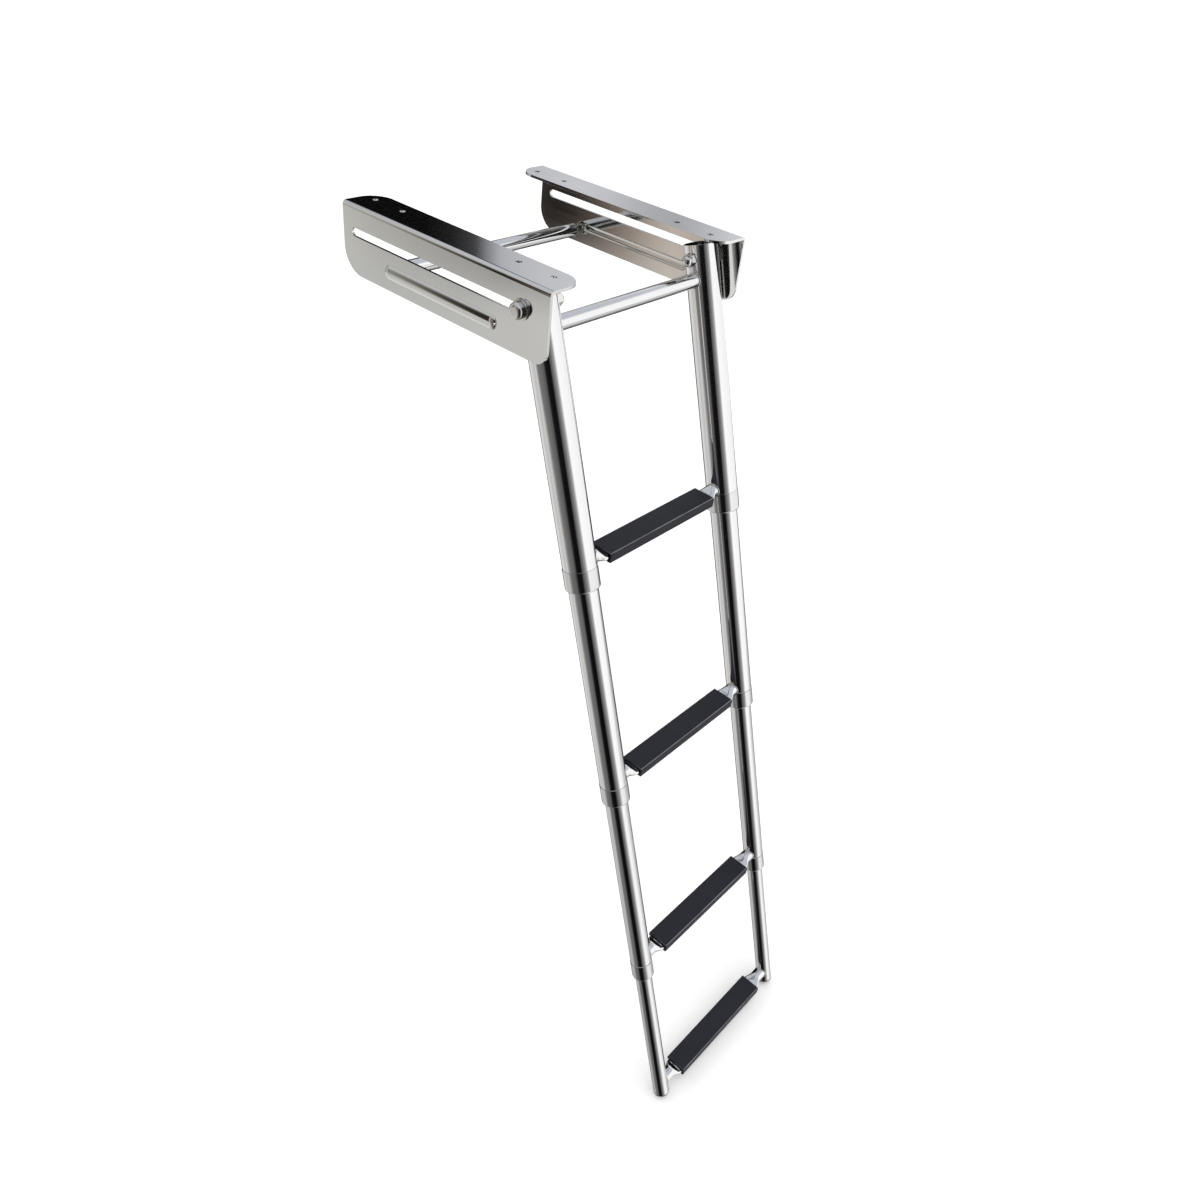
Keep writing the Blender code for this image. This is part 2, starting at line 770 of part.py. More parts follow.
def build_pins(frame, collection, cutters):
    steel = material("bolt_stainless", POLISHED_STEEL)
    nylon = material("spacer_nylon", NYLON)
    for label, side in SIDES:
        pieces = (
            pivot_bolt(label + "_pivot_bolt", side, frame, collection),
            pivot_washer(label + "_pivot_washer", side, frame, collection),
            cap_nut(label + "_pivot_nut", side, frame, collection, cutters),
        )
        for piece in pieces:
            piece.data.materials.append(steel)
        spacer = slide_spacer(label + "_slide_spacer", side, frame, collection)
        spacer.data.materials.append(nylon)


def build_section(index, frame, collection, cutters):
    label = SECTIONS[index]
    last = len(SECTIONS) - 1
    steel = material(label + "_tube_stainless", POLISHED_STEEL)
    satin = material(label + "_collar_stainless", SATIN_STEEL)
    plastic = material(label + "_tread_plastic", TREAD_PLASTIC)
    nylon = material(label + "_nylon", NYLON)
    cross = rung(label + "_rung", index, frame, collection, cutters)
    cross.data.materials.append(steel)
    cover = tread(label + "_tread", frame, collection)
    cover.data.materials.append(plastic)
    for side_name, side in SIDES:
        stem = side_name + "_" + label
        tube = rail(stem + "_rail", index, side, frame, collection, cutters)
        tube.data.materials.append(steel)
        if index > 0:
            guide = guide_bush(stem + "_guide", index, side, frame, collection)
            guide.data.materials.append(nylon)
        if index < last:
            sleeve = collar(stem + "_collar", index, side, frame, collection)
            sleeve.data.materials.append(satin)
            bush = collar_bush(stem + "_collar_bush", index, side, frame, collection)
            bush.data.materials.append(nylon)
        else:
            foot = foot_cap(side_name + "_foot_cap", side, frame, collection)
            foot.data.materials.append(plastic)
    if index == 0:
        bar = crossbar(label + "_crossbar", frame, collection, cutters)
        bar.data.materials.append(steel)


def main():
    clear_scene()
    collection = new_collection("boat_boarding_ladder")
    cutters = new_collection("cutters")
    build_mount(collection, cutters)
    slide = frame_empty("pivot_slide", collection, location=(0.0, PIVOT_Y, PIVOT_Z))
    build_pins(slide, collection, cutters)
    lean = (-math.radians(LEAN_DEGREES), 0.0, 0.0)
    frame = frame_empty("ladder_swing", collection, parent=slide, rotation=lean)
    drop = FIRST_RUNG_DROP
    for index, label in enumerate(SECTIONS):
        if index > 0:
            drop = RUNG_PITCHES[index - 1]
        frame = frame_empty(
            label + "_section", collection, parent=frame, location=(0.0, 0.0, -drop)
        )
        build_section(index, frame, collection, cutters)
    bpy.context.view_layer.update()


if __name__ == "__main__":
    main()
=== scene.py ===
import json
import math

import bmesh
import bpy
from bpy.props import FloatProperty
from bpy.props import FloatVectorProperty
from bpy.props import PointerProperty
from mathutils import Matrix
from mathutils import Vector


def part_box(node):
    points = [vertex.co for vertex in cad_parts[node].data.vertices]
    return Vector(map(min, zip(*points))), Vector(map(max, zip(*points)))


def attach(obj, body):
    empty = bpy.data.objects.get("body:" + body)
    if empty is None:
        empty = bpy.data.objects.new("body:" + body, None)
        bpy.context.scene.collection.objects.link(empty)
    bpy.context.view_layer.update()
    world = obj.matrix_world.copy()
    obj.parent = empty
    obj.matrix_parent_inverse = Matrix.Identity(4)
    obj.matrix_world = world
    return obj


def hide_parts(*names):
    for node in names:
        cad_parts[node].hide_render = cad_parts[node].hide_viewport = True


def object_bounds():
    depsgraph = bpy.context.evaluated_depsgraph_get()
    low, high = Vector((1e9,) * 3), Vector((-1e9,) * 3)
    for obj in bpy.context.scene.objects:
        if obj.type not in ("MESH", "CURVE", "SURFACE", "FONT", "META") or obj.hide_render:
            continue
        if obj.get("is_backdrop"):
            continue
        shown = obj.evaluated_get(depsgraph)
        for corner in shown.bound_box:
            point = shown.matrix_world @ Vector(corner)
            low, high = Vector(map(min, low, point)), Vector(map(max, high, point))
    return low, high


bl_info = {
    "name": "Boat boarding ladder",
    "version": (1, 0, 0),
    "blender": (4, 5, 0),
    "location": "3D View > Sidebar > Ladder",
    "description": "Builds the finished look of a slide-out telescoping boarding ladder",
    "category": "Object",
}

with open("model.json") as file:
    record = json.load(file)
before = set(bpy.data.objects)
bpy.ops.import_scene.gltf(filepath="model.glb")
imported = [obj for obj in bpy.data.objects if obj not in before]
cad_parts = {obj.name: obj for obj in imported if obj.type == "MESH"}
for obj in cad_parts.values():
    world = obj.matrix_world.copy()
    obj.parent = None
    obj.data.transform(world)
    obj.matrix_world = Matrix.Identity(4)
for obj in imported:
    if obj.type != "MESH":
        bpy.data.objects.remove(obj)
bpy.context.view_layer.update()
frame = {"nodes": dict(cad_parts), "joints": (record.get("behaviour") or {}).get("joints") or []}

SECTIONS = ("top", "second", "third", "fourth")
SIDES = (("left", -1), ("right", 1))
QUARTER = math.pi / 2
FLOOR_SIZE = 20.0
TOUCHING = 1e-5
BOLT_HOLE = 0.0043
SHANK = 0.004
BOSS_THICKNESS = 0.0075
SCREWS_FROM_FRONT = (0.026, 0.073)
SCREWS_FROM_BACK = (0.062, 0.017)
RIB_HOLE_RADIUS = 0.0014
RIB_HOLE_DEPTH = 0.006
RIB_HOLE_DEGREES = 38
CROSSBAR_RADIUS = 0.008
FOOT_HEIGHT = 0.0029
SPIGOT_LENGTH = 0.012
SPIGOT_TOP = 0.0115


def middle(node):
    """Centre of a CAD node's box."""
    low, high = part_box(node)
    return (low + high) / 2


def extent(node):
    """Size of a CAD node's box."""
    low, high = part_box(node)
    return high - low


def lean_angle():
    """How far the ladder leans out, from its first rung to its last."""
    down = middle("fourth_rung") - middle("top_rung")
    return math.atan2(-down.y, -down.z)


LEAN = lean_angle()
ON_LADDER = (-LEAN, 0.0, 0.0)
PIVOT = middle("left_pivot_washer")
HALF_SPAN = middle("right_top_rail").x
WEB_OUTER = middle("right_pivot_washer").x - extent("right_pivot_washer").x / 2 - 0.0003
TRAVEL = next(j for j in frame["joints"] if j["name"] == "pivot_slide")["range_m"][1]


def leaning_length(node):
    """Length along the ladder of a round piece, from its box and its width."""
    size = extent(node)
    return (size.z - size.x * math.sin(LEAN)) / math.cos(LEAN)


def linear(hex_code):
    """Linear colour from an sRGB hex value such as c8c8c4."""
    channels = []
    for start in (0, 2, 4):
        value = int(hex_code[start : start + 2], 16) / 255
        channels.append(value / 12.92 if value <= 0.04045 else ((value + 0.055) / 1.055) ** 2.4)
    return tuple(channels)


def size(name, description, metres):
    return FloatProperty(
        name=name,
        description=description,
        default=metres,
        precision=5,
        unit="LENGTH",
        subtype="DISTANCE",
    )


def colour(name, description, hex_code):
    return FloatVectorProperty(
        name=name,
        description=description,
        default=linear(hex_code),
        size=3,
        min=0.0,
        max=1.0,
        subtype="COLOR",
    )


class BracketSizes(bpy.types.PropertyGroup):
    """Sizes of the slotted mounting brackets and their brace."""

    plate: size("Plate", "Thickness of the bracket plate", 0.003)
    bend: size("Bend", "Outer radius of the bend between web and flange", 0.005)
    front_corner: size("Front corner", "Radius of the web's lower front corner", 0.016)
    back_corner: size("Back corner", "Radius of the web's lower back corner", 0.028)
    flange_corner: size("Flange corner", "Radius of the flange's two free corners", 0.024)
    slot: size("Slot", "Width of the long slot", 0.0092)
    screw_hole: size("Screw hole", "Diameter of the screw holes in the flange", 0.0065)
    screw_inset: size("Screw inset", "Distance of the screw holes from the web", 0.030)
    rib_start: size("Rib start", "Distance of the rib's front end behind the pivot", 0.032)
    rib_length: size("Rib length", "Length of the pressed rib", 0.170)
    rib_drop: size("Rib drop", "Distance of the rib below the slot", 0.0255)
    rib_height: size("Rib height", "Height of the pressed rib", 0.0155)
    rib_depth: size("Rib depth", "How far the rib stands out of the web", 0.0035)


class LadderSizes(bpy.types.PropertyGroup):
    """Sizes of the telescoping ladder."""

    wall: size("Tube wall", "Wall thickness of every tube", 0.0012)
    gap: size("Gap", "Air gap between neighbouring pieces", 0.0003)
    rung: size("Rung", "Diameter of a rung where it meets the rails", 0.017)
    rung_flat_width: size("Flat width", "Width of the flattened rung", 0.0245)
    rung_flat_height: size("Flat height", "Height of the flattened rung", 0.008)
    rung_round_end: size("Rung round end", "Round stretch of a rung beside its rail", 0.002)
    rung_taper: size("Rung taper", "Length over which a rung turns from round to flat", 0.0115)
    tread_wall: size("Tread wall", "Thickness of the tread cover", 0.0024)
    tread_hook: size("Tread hook", "How far the front lip reaches back under the rung", 0.0040)
    tread_lip: size("Tread lip", "Depth of the hook under the rung", 0.0020)
    tread_back: size("Tread back", "Height of the tread's back lip", 0.0065)
    collar_height: size("Collar height", "Height of the collars", 0.021)
    collar_overlap: size("Collar overlap", "How far a collar reaches up over its tube", 0.0045)
    collar_lip: size("Collar lip", "Thickness of the lip that holds the bush", 0.002)
    collar_relief: size("Collar relief", "Clearance over the next rung's welds", 0.0006)
    collar_rounding: size("Collar rounding", "Rounding of a collar's lower edge", 0.0028)
    weld: size("Weld", "Half width of the weld beads", 0.0009)


class FinishColours(bpy.types.PropertyGroup):
    """Colours of the finishes."""

    tube_steel: colour("Tube steel", "Mirror-polished stainless tube", "e2e2e2")
    plate_steel: colour("Plate steel", "Satin stainless plate", "dededb")
    collar_steel: colour("Collar steel", "Fine-ground stainless collars", "dadad9")
    bolt_steel: colour("Bolt steel", "Polished stainless fasteners", "dcdad6")
    weld_steel: colour("Weld steel", "Cleaned stainless weld beads", "dedad2")
    tread: colour("Tread", "Grained black plastic treads", "1c1e25")
    # The tread lip colour is a painted highlight for the treads' rounded front lip
    tread_lip: colour("Tread lip", "Rubbed front lip of the treads", "8d8f94")
    cap: colour("Foot cap", "Smooth dark grey plastic caps", "56575a")
    nylon: colour("Nylon", "Natural grey nylon bushes", "6a6a6b")
    floor: colour("Floor", "Pale studio floor", "ffffff")


# Modelling by hand


def object_mode():
    """Leave edit mode and select nothing."""
    if bpy.context.mode != "OBJECT":
        bpy.ops.object.mode_set(mode="OBJECT")
    bpy.ops.object.select_all(action="DESELECT")


def make_active(piece):
    object_mode()
    piece.select_set(True)
    bpy.context.view_layer.objects.active = piece
    return piece


def edit(piece):
    make_active(piece)
    bpy.ops.object.mode_set(mode="EDIT")


def keep_place():
    """Put the selected piece's place, turn and scale into its mesh."""
    bpy.ops.object.transform_apply(location=True, rotation=True, scale=True)


def pick(kind, test):
    """In edit mode, select just the verts, edges or faces that pass a test."""
    modes = {"verts": "VERT", "edges": "EDGE", "faces": "FACE"}
    bpy.ops.mesh.select_mode(type=modes[kind])
    bpy.ops.mesh.select_all(action="DESELECT")
    mesh = bmesh.from_edit_mesh(bpy.context.edit_object.data)
    mesh.normal_update()
    for element in getattr(mesh, kind):
        if test(element):
            element.select_set(True)
    mesh.select_flush_mode()
    bmesh.update_edit_mesh(bpy.context.edit_object.data)


def sharper_than(degrees, test=None):
    """Test for edges whose faces meet at more than this angle."""

    def passes(edge):
        if len(edge.link_faces) != 2 or edge.calc_face_angle(0.0) < math.radians(degrees):
            return False
        return test is None or test(edge)

    return passes


def bevel(width, segments=3, test=None, degrees=40):
    """Round the sharp edges of the piece in edit mode."""
    pick("edges", sharper_than(degrees, test))
    bpy.ops.mesh.bevel(offset=width, segments=segments, affect="EDGES", clamp_overlap=True)


def extrude(x=0.0, y=0.0, z=0.0):
    """Draw the picked faces out by this much."""
    bpy.ops.mesh.extrude_region_move(TRANSFORM_OT_translate={"value": (x, y, z)})


def runs_along(y, z):
    """Test for edges that lie along X at this place."""
    return lambda edge: all(
        abs(v.co.y - y) < TOUCHING and abs(v.co.z - z) < TOUCHING for v in edge.verts
    )


def reshape(piece, move):
    """Move every point of a piece to where a function of its place says."""
    edit(piece)
    mesh = bmesh.from_edit_mesh(piece.data)
    for vert in mesh.verts:
        vert.co = Vector(move(vert.co.copy()))
    bmesh.update_edit_mesh(piece.data)
    object_mode()


def face_outwards(piece):
    edit(piece)
    bpy.ops.mesh.select_all(action="SELECT")
    bpy.ops.mesh.remove_doubles(threshold=0.000002)
    bpy.ops.mesh.normals_make_consistent(inside=False)
    object_mode()


def cut(piece, tool, operation="DIFFERENCE"):
    """Combine a tool with a piece, then drop the tool."""
    object_mode()
    modifier = piece.modifiers.new("Cut", "BOOLEAN")
    modifier.operation = operation
    modifier.solver = "EXACT"
    modifier.object = tool
    make_active(piece)
    bpy.ops.object.modifier_apply(modifier=modifier.name)
    bpy.data.objects.remove(tool, do_unlink=True)


def bar(radius, length, sides=96, at=(0.0, 0.0, 0.0), turn=(0.0, 0.0, 0.0)):
    """A cylinder to start from, with its place in its mesh."""
    object_mode()
    bpy.ops.mesh.primitive_cylinder_add(
        vertices=sides, radius=radius, depth=length, location=at, rotation=turn
    )
    keep_place()
    return bpy.context.object


def block(dimensions, at):
    """A box to start from, with its place in its mesh."""
    object_mode()
    bpy.ops.mesh.primitive_cube_add(size=1.0, location=at, scale=dimensions)
    keep_place()
    return bpy.context.object


def flat_end(face):
    return abs(face.normal.z) > 0.9


def hollow(wall):
    """Inset both ends of the bar in edit mode and join them through it."""
    pick("faces", flat_end)
    bpy.ops.mesh.inset(thickness=wall)
    bpy.ops.mesh.delete(type="FACE")
    pick("edges", lambda edge: edge.is_boundary)
    bpy.ops.mesh.bridge_edge_loops()
    bpy.ops.mesh.select_all(action="SELECT")
    bpy.ops.mesh.normals_make_consistent(inside=False)


def tube(radius, wall, length, rim=0.00025, sides=96):
    """An open tube along Z with its rims just broken."""
    piece = bar(radius, length, sides)
    edit(piece)
    hollow(wall)
    bevel(rim, 2)
    object_mode()
    return piece


def again(piece):
    """A copy with its own mesh."""
    twin = piece.copy()
    twin.data = piece.data.copy()
    bpy.context.scene.collection.objects.link(twin)
    return twin


def mirrored(piece):
    """A copy on the other side of the centre plane."""
    twin = again(piece)
    make_active(twin)
    twin.scale = (-1.0, 1.0, 1.0)
    keep_place()
    face_outwards(twin)
    return twin


def settle(piece, name, body, kind, nodes=(), at=(0.0, 0.0, 0.0), turn=(0.0, 0.0, 0.0)):
    """Put a finished piece in its place, on its body, with its kind of finish."""
    make_active(piece)
    piece.name = name
    piece.data.name = name
    piece.location = at
    piece.rotation_euler = turn
    keep_place()
    bpy.ops.object.shade_smooth_by_angle(angle=math.radians(35))
    flats = piece.modifiers.new("Flats", "WEIGHTED_NORMAL")
    flats.weight = 100
    flats.keep_sharp = True
    bpy.ops.object.modifier_apply(modifier=flats.name)
    piece.data.materials.clear()
    piece.data.materials.append(finish(kind))
    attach(piece, body)
    if nodes:
        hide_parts(*nodes)
    object_mode()
    return piece


def section_body(label):
    return label + "_section"


def facing(side):
    """Turn that points a piece modelled along +Z out through its own side."""
    return (0.0, side * QUARTER, 0.0)


def settle_pair(shape, name, body, kind, node, at, turn=None, flip=False):
    """Settle a copy of a shape on each side, then drop the shape.

    The names of piece and node follow their side's. The place is the right one's. Without a
    turn each copy faces out through its side; with flip the right copy is mirrored.
    """
    for label, side in SIDES:
        settle(
            mirrored(shape) if flip and side > 0 else again(shape),
            f"{label}_{name}",
            body,
            kind,
            [f"{label}_{node}"] if node else (),
            (side * at[0], at[1], at[2]),
            facing(side) if turn is None else turn,
        )
    bpy.data.objects.remove(shape, do_unlink=True)


# Finishes


def add(tree, kind, inputs=None, **settings):
    """Add a node with its settings; inputs maps sockets to values or other nodes' outputs."""
    node = tree.nodes.new(kind)
    for name, value in settings.items():
        setattr(node, name, value)
    for name, value in (inputs or {}).items():
        if isinstance(value, bpy.types.NodeSocket):
            tree.links.new(value, node.inputs[name])
        else:
            node.inputs[name].default_value = value
    return node


def start_finish(name, turn=(0.0, 0.0, 0.0), metallic=0.0):
    """A new material: its node tree, its shader and the piece's own coordinates, turned."""
    made = bpy.data.materials.new(name)
    made.use_nodes = True
    tree = made.node_tree
    shader = tree.nodes["Principled BSDF"]
    shader.inputs["Metallic"].default_value = metallic
    place = add(tree, "ShaderNodeTexCoord")
    turned = add(
        tree, "ShaderNodeMapping", {"Vector": place.outputs["Object"], "Rotation": turn}
    )
    return made, tree, shader, turned.outputs["Vector"]


def spread(tree, value, low, high, new_low, new_high):
    """Map a pattern's values from one range to another."""
    ranges = {"From Min": low, "From Max": high, "To Min": new_low, "To Max": new_high}
    return add(tree, "ShaderNodeMapRange", {"Value": value, **ranges}).outputs["Result"]


def tint(tree, value, dark, light):
    """Blend two colours, or the outputs that carry them, by a pattern."""
    ends = [
        end if isinstance(end, bpy.types.NodeSocket) else (*end, 1.0) for end in (dark, light)
    ]
    node = add(tree, "ShaderNodeMix", {0: value, 6: ends[0], 7: ends[1]}, data_type="RGBA")
    return node.outputs[2]


def shaded(base, factor):
    return tuple(min(1.0, channel * factor) for channel in base)


def noise(tree, place, scale, detail, stretch=None):
    """Noise over a piece; stretch scales it along each axis first."""
    if stretch:
        place = add(tree, "ShaderNodeMapping", {"Vector": place, "Scale": stretch}).outputs[0]
    node = add(tree, "ShaderNodeTexNoise", {"Vector": place, "Scale": scale, "Detail": detail})
    return node.outputs["Fac"]


def dress(tree, shader, colour_of, pattern, smooth, rough):
    """Give a shader its colour, and a roughness that follows a pattern's middle values."""
    tree.links.new(colour_of, shader.inputs["Base Color"])
    roughness = spread(tree, pattern, 0.3, 0.7, smooth, rough)
    tree.links.new(roughness, shader.inputs["Roughness"])


def relief(tree, shader, height, strength, distance):
    """Relief too fine for the mesh."""
    bump = add(
        tree, "ShaderNodeBump", {"Height": height, "Strength": strength, "Distance": distance}
    )
    tree.links.new(bump.outputs["Normal"], shader.inputs["Normal"])


def polished_stainless_tube(name, base, turn):
    """Drawn 316 stainless tube, mirror polished: crisp reflections, faint drawing lines along it
    and soft patches where the buffing wheel left it a little duller."""
    made, tree, shader, place = start_finish(name, turn, 1.0)
    # Drawing lines about 0.6 mm apart round the tube and 120 mm long
    lines = noise(tree, place, 1.0, 2.0, (1600.0, 1600.0, 8.0))
    # Buffing patches about 45 mm across
    patches = noise(tree, place, 22.0, 3.0)
    dress(tree, shader, tint(tree, patches, shaded(base, 0.93), base), patches, 0.035, 0.085)
    relief(tree, shader, lines, 0.035, 0.00005)
    return made


def satin_stainless_plate(name, base):
    """Cold-rolled 304 stainless plate with a fine satin grain along it: soft, slightly drawn
    out reflections on the web that turn almost mirror-like when seen from low down."""
    made, tree, shader, place = start_finish(name, metallic=1.0)
    # Grain drawn 0.35 mm wide, coarser than the real grit so that it shows, and 60 mm long
    grain = noise(tree, place, 1.0, 3.0, (2800.0, 16.0, 2800.0))
    # Cloudy patches about 50 mm across, left by handling
    clouds = noise(tree, place, 20.0, 4.0)
    dress(tree, shader, tint(tree, clouds, shaded(base, 0.92), base), grain, 0.055, 0.095)
    relief(tree, shader, grain, 0.03, 0.00006)
    return made


def ground_stainless(name, base):
    """Stainless collar ground on a fine belt: short marks round it and a soft shine."""
    made, tree, shader, place = start_finish(name, (LEAN, 0.0, 0.0), 1.0)
    # Grinding marks 0.3 mm apart down the collar
    marks = noise(tree, place, 1.0, 3.0, (90.0, 90.0, 3200.0))
    dress(tree, shader, tint(tree, marks, shaded(base, 0.88), base), marks, 0.06, 0.11)
    relief(tree, shader, marks, 0.1, 0.00006)
    return made


def tumbled_stainless(name, base):
    """Cold-headed stainless fastener, tumbled bright: clear reflections with tiny dents."""
    made, tree, shader, place = start_finish(name, metallic=1.0)
    # Tumbling marks about 1 mm across
    dents = noise(tree, place, 1000.0, 2.0)
    dress(tree, shader, tint(tree, dents, shaded(base, 0.9), base), dents, 0.09, 0.17)
    relief(tree, shader, dents, 0.08, 0.0001)
    return made


def cleaned_weld(name, base):
    """Stainless weld bead after pickling: bright, a little rough, with a trace of straw."""
    made, tree, shader, place = start_finish(name, metallic=1.0)
    # Mottling about 2 mm across
    mottle = noise(tree, place, 500.0, 4.0)
    dress(tree, shader, tint(tree, mottle, shaded(base, 0.82), base), mottle, 0.18, 0.34)
    relief(tree, shader, mottle, 0.3, 0.0002)
    return made


def grained_plastic(name, base, lip_highlight):
    """Moulded polypropylene with a spark-eroded grain: nearly matt black, with a painted
    highlight, a thin lighter line along its rounded front lip, which is also made smoother there,
    and light scuffs on the top."""
    made, tree, shader, place = start_finish(name)
    # Grain pits 0.5 mm across
    pits = add(
        tree,
        "ShaderNodeTexVoronoi",
        {"Vector": place, "Scale": 1700.0, "Randomness": 1.0},
        feature="SMOOTH_F1",
    )
    # Scuffs about 25 mm across, broken up down to 2 mm
    scuffs = noise(tree, place, 40.0, 5.0)
    top = tint(tree, scuffs, shaded(base, 0.8), shaded(base, 1.3))
    # Painted highlight: the lip mask blends a lighter colour into a thin line on the front lip and
    # lowers the roughness there
    lip = add(tree, "ShaderNodeAttribute", attribute_name="lip_wear")
    patchy = spread(tree, scuffs, 0.35, 0.65, 0.55, 1.0)
    highlight_mask = add(
        tree, "ShaderNodeMath", {0: lip.outputs["Fac"], 1: patchy}, operation="MULTIPLY"
    ).outputs[0]
    tree.links.new(tint(tree, highlight_mask, top, lip_highlight), shader.inputs["Base Color"])
    roughness = spread(tree, highlight_mask, 0.0, 1.0, 0.55, 0.38)
    tree.links.new(roughness, shader.inputs["Roughness"])
    relief(tree, shader, pits.outputs["Distance"], 0.35, 0.0002)
    shader.inputs["IOR"].default_value = 1.49
    shader.inputs["Specular IOR Level"].default_value = 0.25
    return made


def smooth_plastic(name, base):
    """Injection-moulded polyethylene: even colour, low shine, faint flow marks."""
    made, tree, shader, place = start_finish(name)
    # Flow marks about 8 mm across
    flow = noise(tree, place, 120.0, 3.0)
    colour_of = tint(tree, flow, shaded(base, 0.88), shaded(base, 1.08))
    dress(tree, shader, colour_of, flow, 0.32, 0.44)
    shader.inputs["IOR"].default_value = 1.51
    return made


FINISHES = {}


def finish(kind):
    """The finish of that kind, made the first time that it is asked for."""
    if kind in FINISHES:
        return FINISHES[kind]
    tones = {
        name: tuple(getattr(bpy.context.scene.finish_colours, name))
        for name in FinishColours.__annotations__
    }
    makers = {
        "rail": lambda: polished_stainless_tube(
            "polished_stainless_rail", tones["tube_steel"], (LEAN, 0.0, 0.0)
        ),
        "cross": lambda: polished_stainless_tube(
            "polished_stainless_cross_tube", tones["tube_steel"], (0.0, QUARTER, 0.0)
        ),
        "plate": lambda: satin_stainless_plate("satin_stainless_plate", tones["plate_steel"]),
        "collar": lambda: ground_stainless("ground_stainless_collar", tones["collar_steel"]),
        "bolt": lambda: tumbled_stainless("tumbled_stainless_fastener", tones["bolt_steel"]),
        "weld": lambda: cleaned_weld("cleaned_stainless_weld", tones["weld_steel"]),
        # The second tone is the painted highlight on the front lip
        "tread": lambda: grained_plastic(
            "grained_black_plastic", tones["tread"], tones["tread_lip"]
        ),
        "cap": lambda: smooth_plastic("smooth_grey_plastic", tones["cap"]),
        "nylon": lambda: smooth_plastic("natural_nylon", tones["nylon"]),
    }
    FINISHES[kind] = makers[kind]()
    return FINISHES[kind]


# Pieces


def weld_bead(cross_radius, rail_radius, half_width):
    """Bead round a cross tube, saddled to a rail at the origin that runs along Z."""
    object_mode()
    bpy.ops.mesh.primitive_torus_add(
        major_segments=84,
        minor_segments=10,
        major_radius=cross_radius,
        minor_radius=half_width,
        rotation=(0.0, QUARTER, 0.0),
    )
    keep_place()
    ripples = 28

    def saddle(point):
        angle = math.atan2(point.z, point.y)
        ring = Vector((0.0, cross_radius * math.cos(angle), cross_radius * math.sin(angle)))
        swell = 1.0 + 0.07 * math.cos(ripples * angle)
        moved = ring + (point - ring) * swell
        moved.x += math.sqrt(max(rail_radius**2 - ring.y**2, 0.0))
        return moved

    bead = bpy.context.object
    reshape(bead, saddle)
    return bead


def coped_ends(piece, rail_radius):
    """Shape both ends of a cross tube to the rails."""
    for _, side in SIDES:
        cut(piece, bar(rail_radius, 0.08, 128, (side * HALF_SPAN, 0.0, 0.0)))


def settle_welds(bead, name, label, centre):
    """Settle the beads at both ends of a cross tube of this section."""
    at = (HALF_SPAN, centre.y, centre.z)
    body = section_body(label)
    settle_pair(bead, name, body, "weld", None, at, ON_LADDER, flip=True)


def flat_drop():
    """How far a rung's flat lies below the axis of its round ends."""
    low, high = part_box("top_tread")
    sizes = bpy.context.scene.ladder_sizes
    top = sizes.rung_flat_height / 2 + sizes.gap + sizes.tread_wall
    return middle("top_rung").z + top - high.z


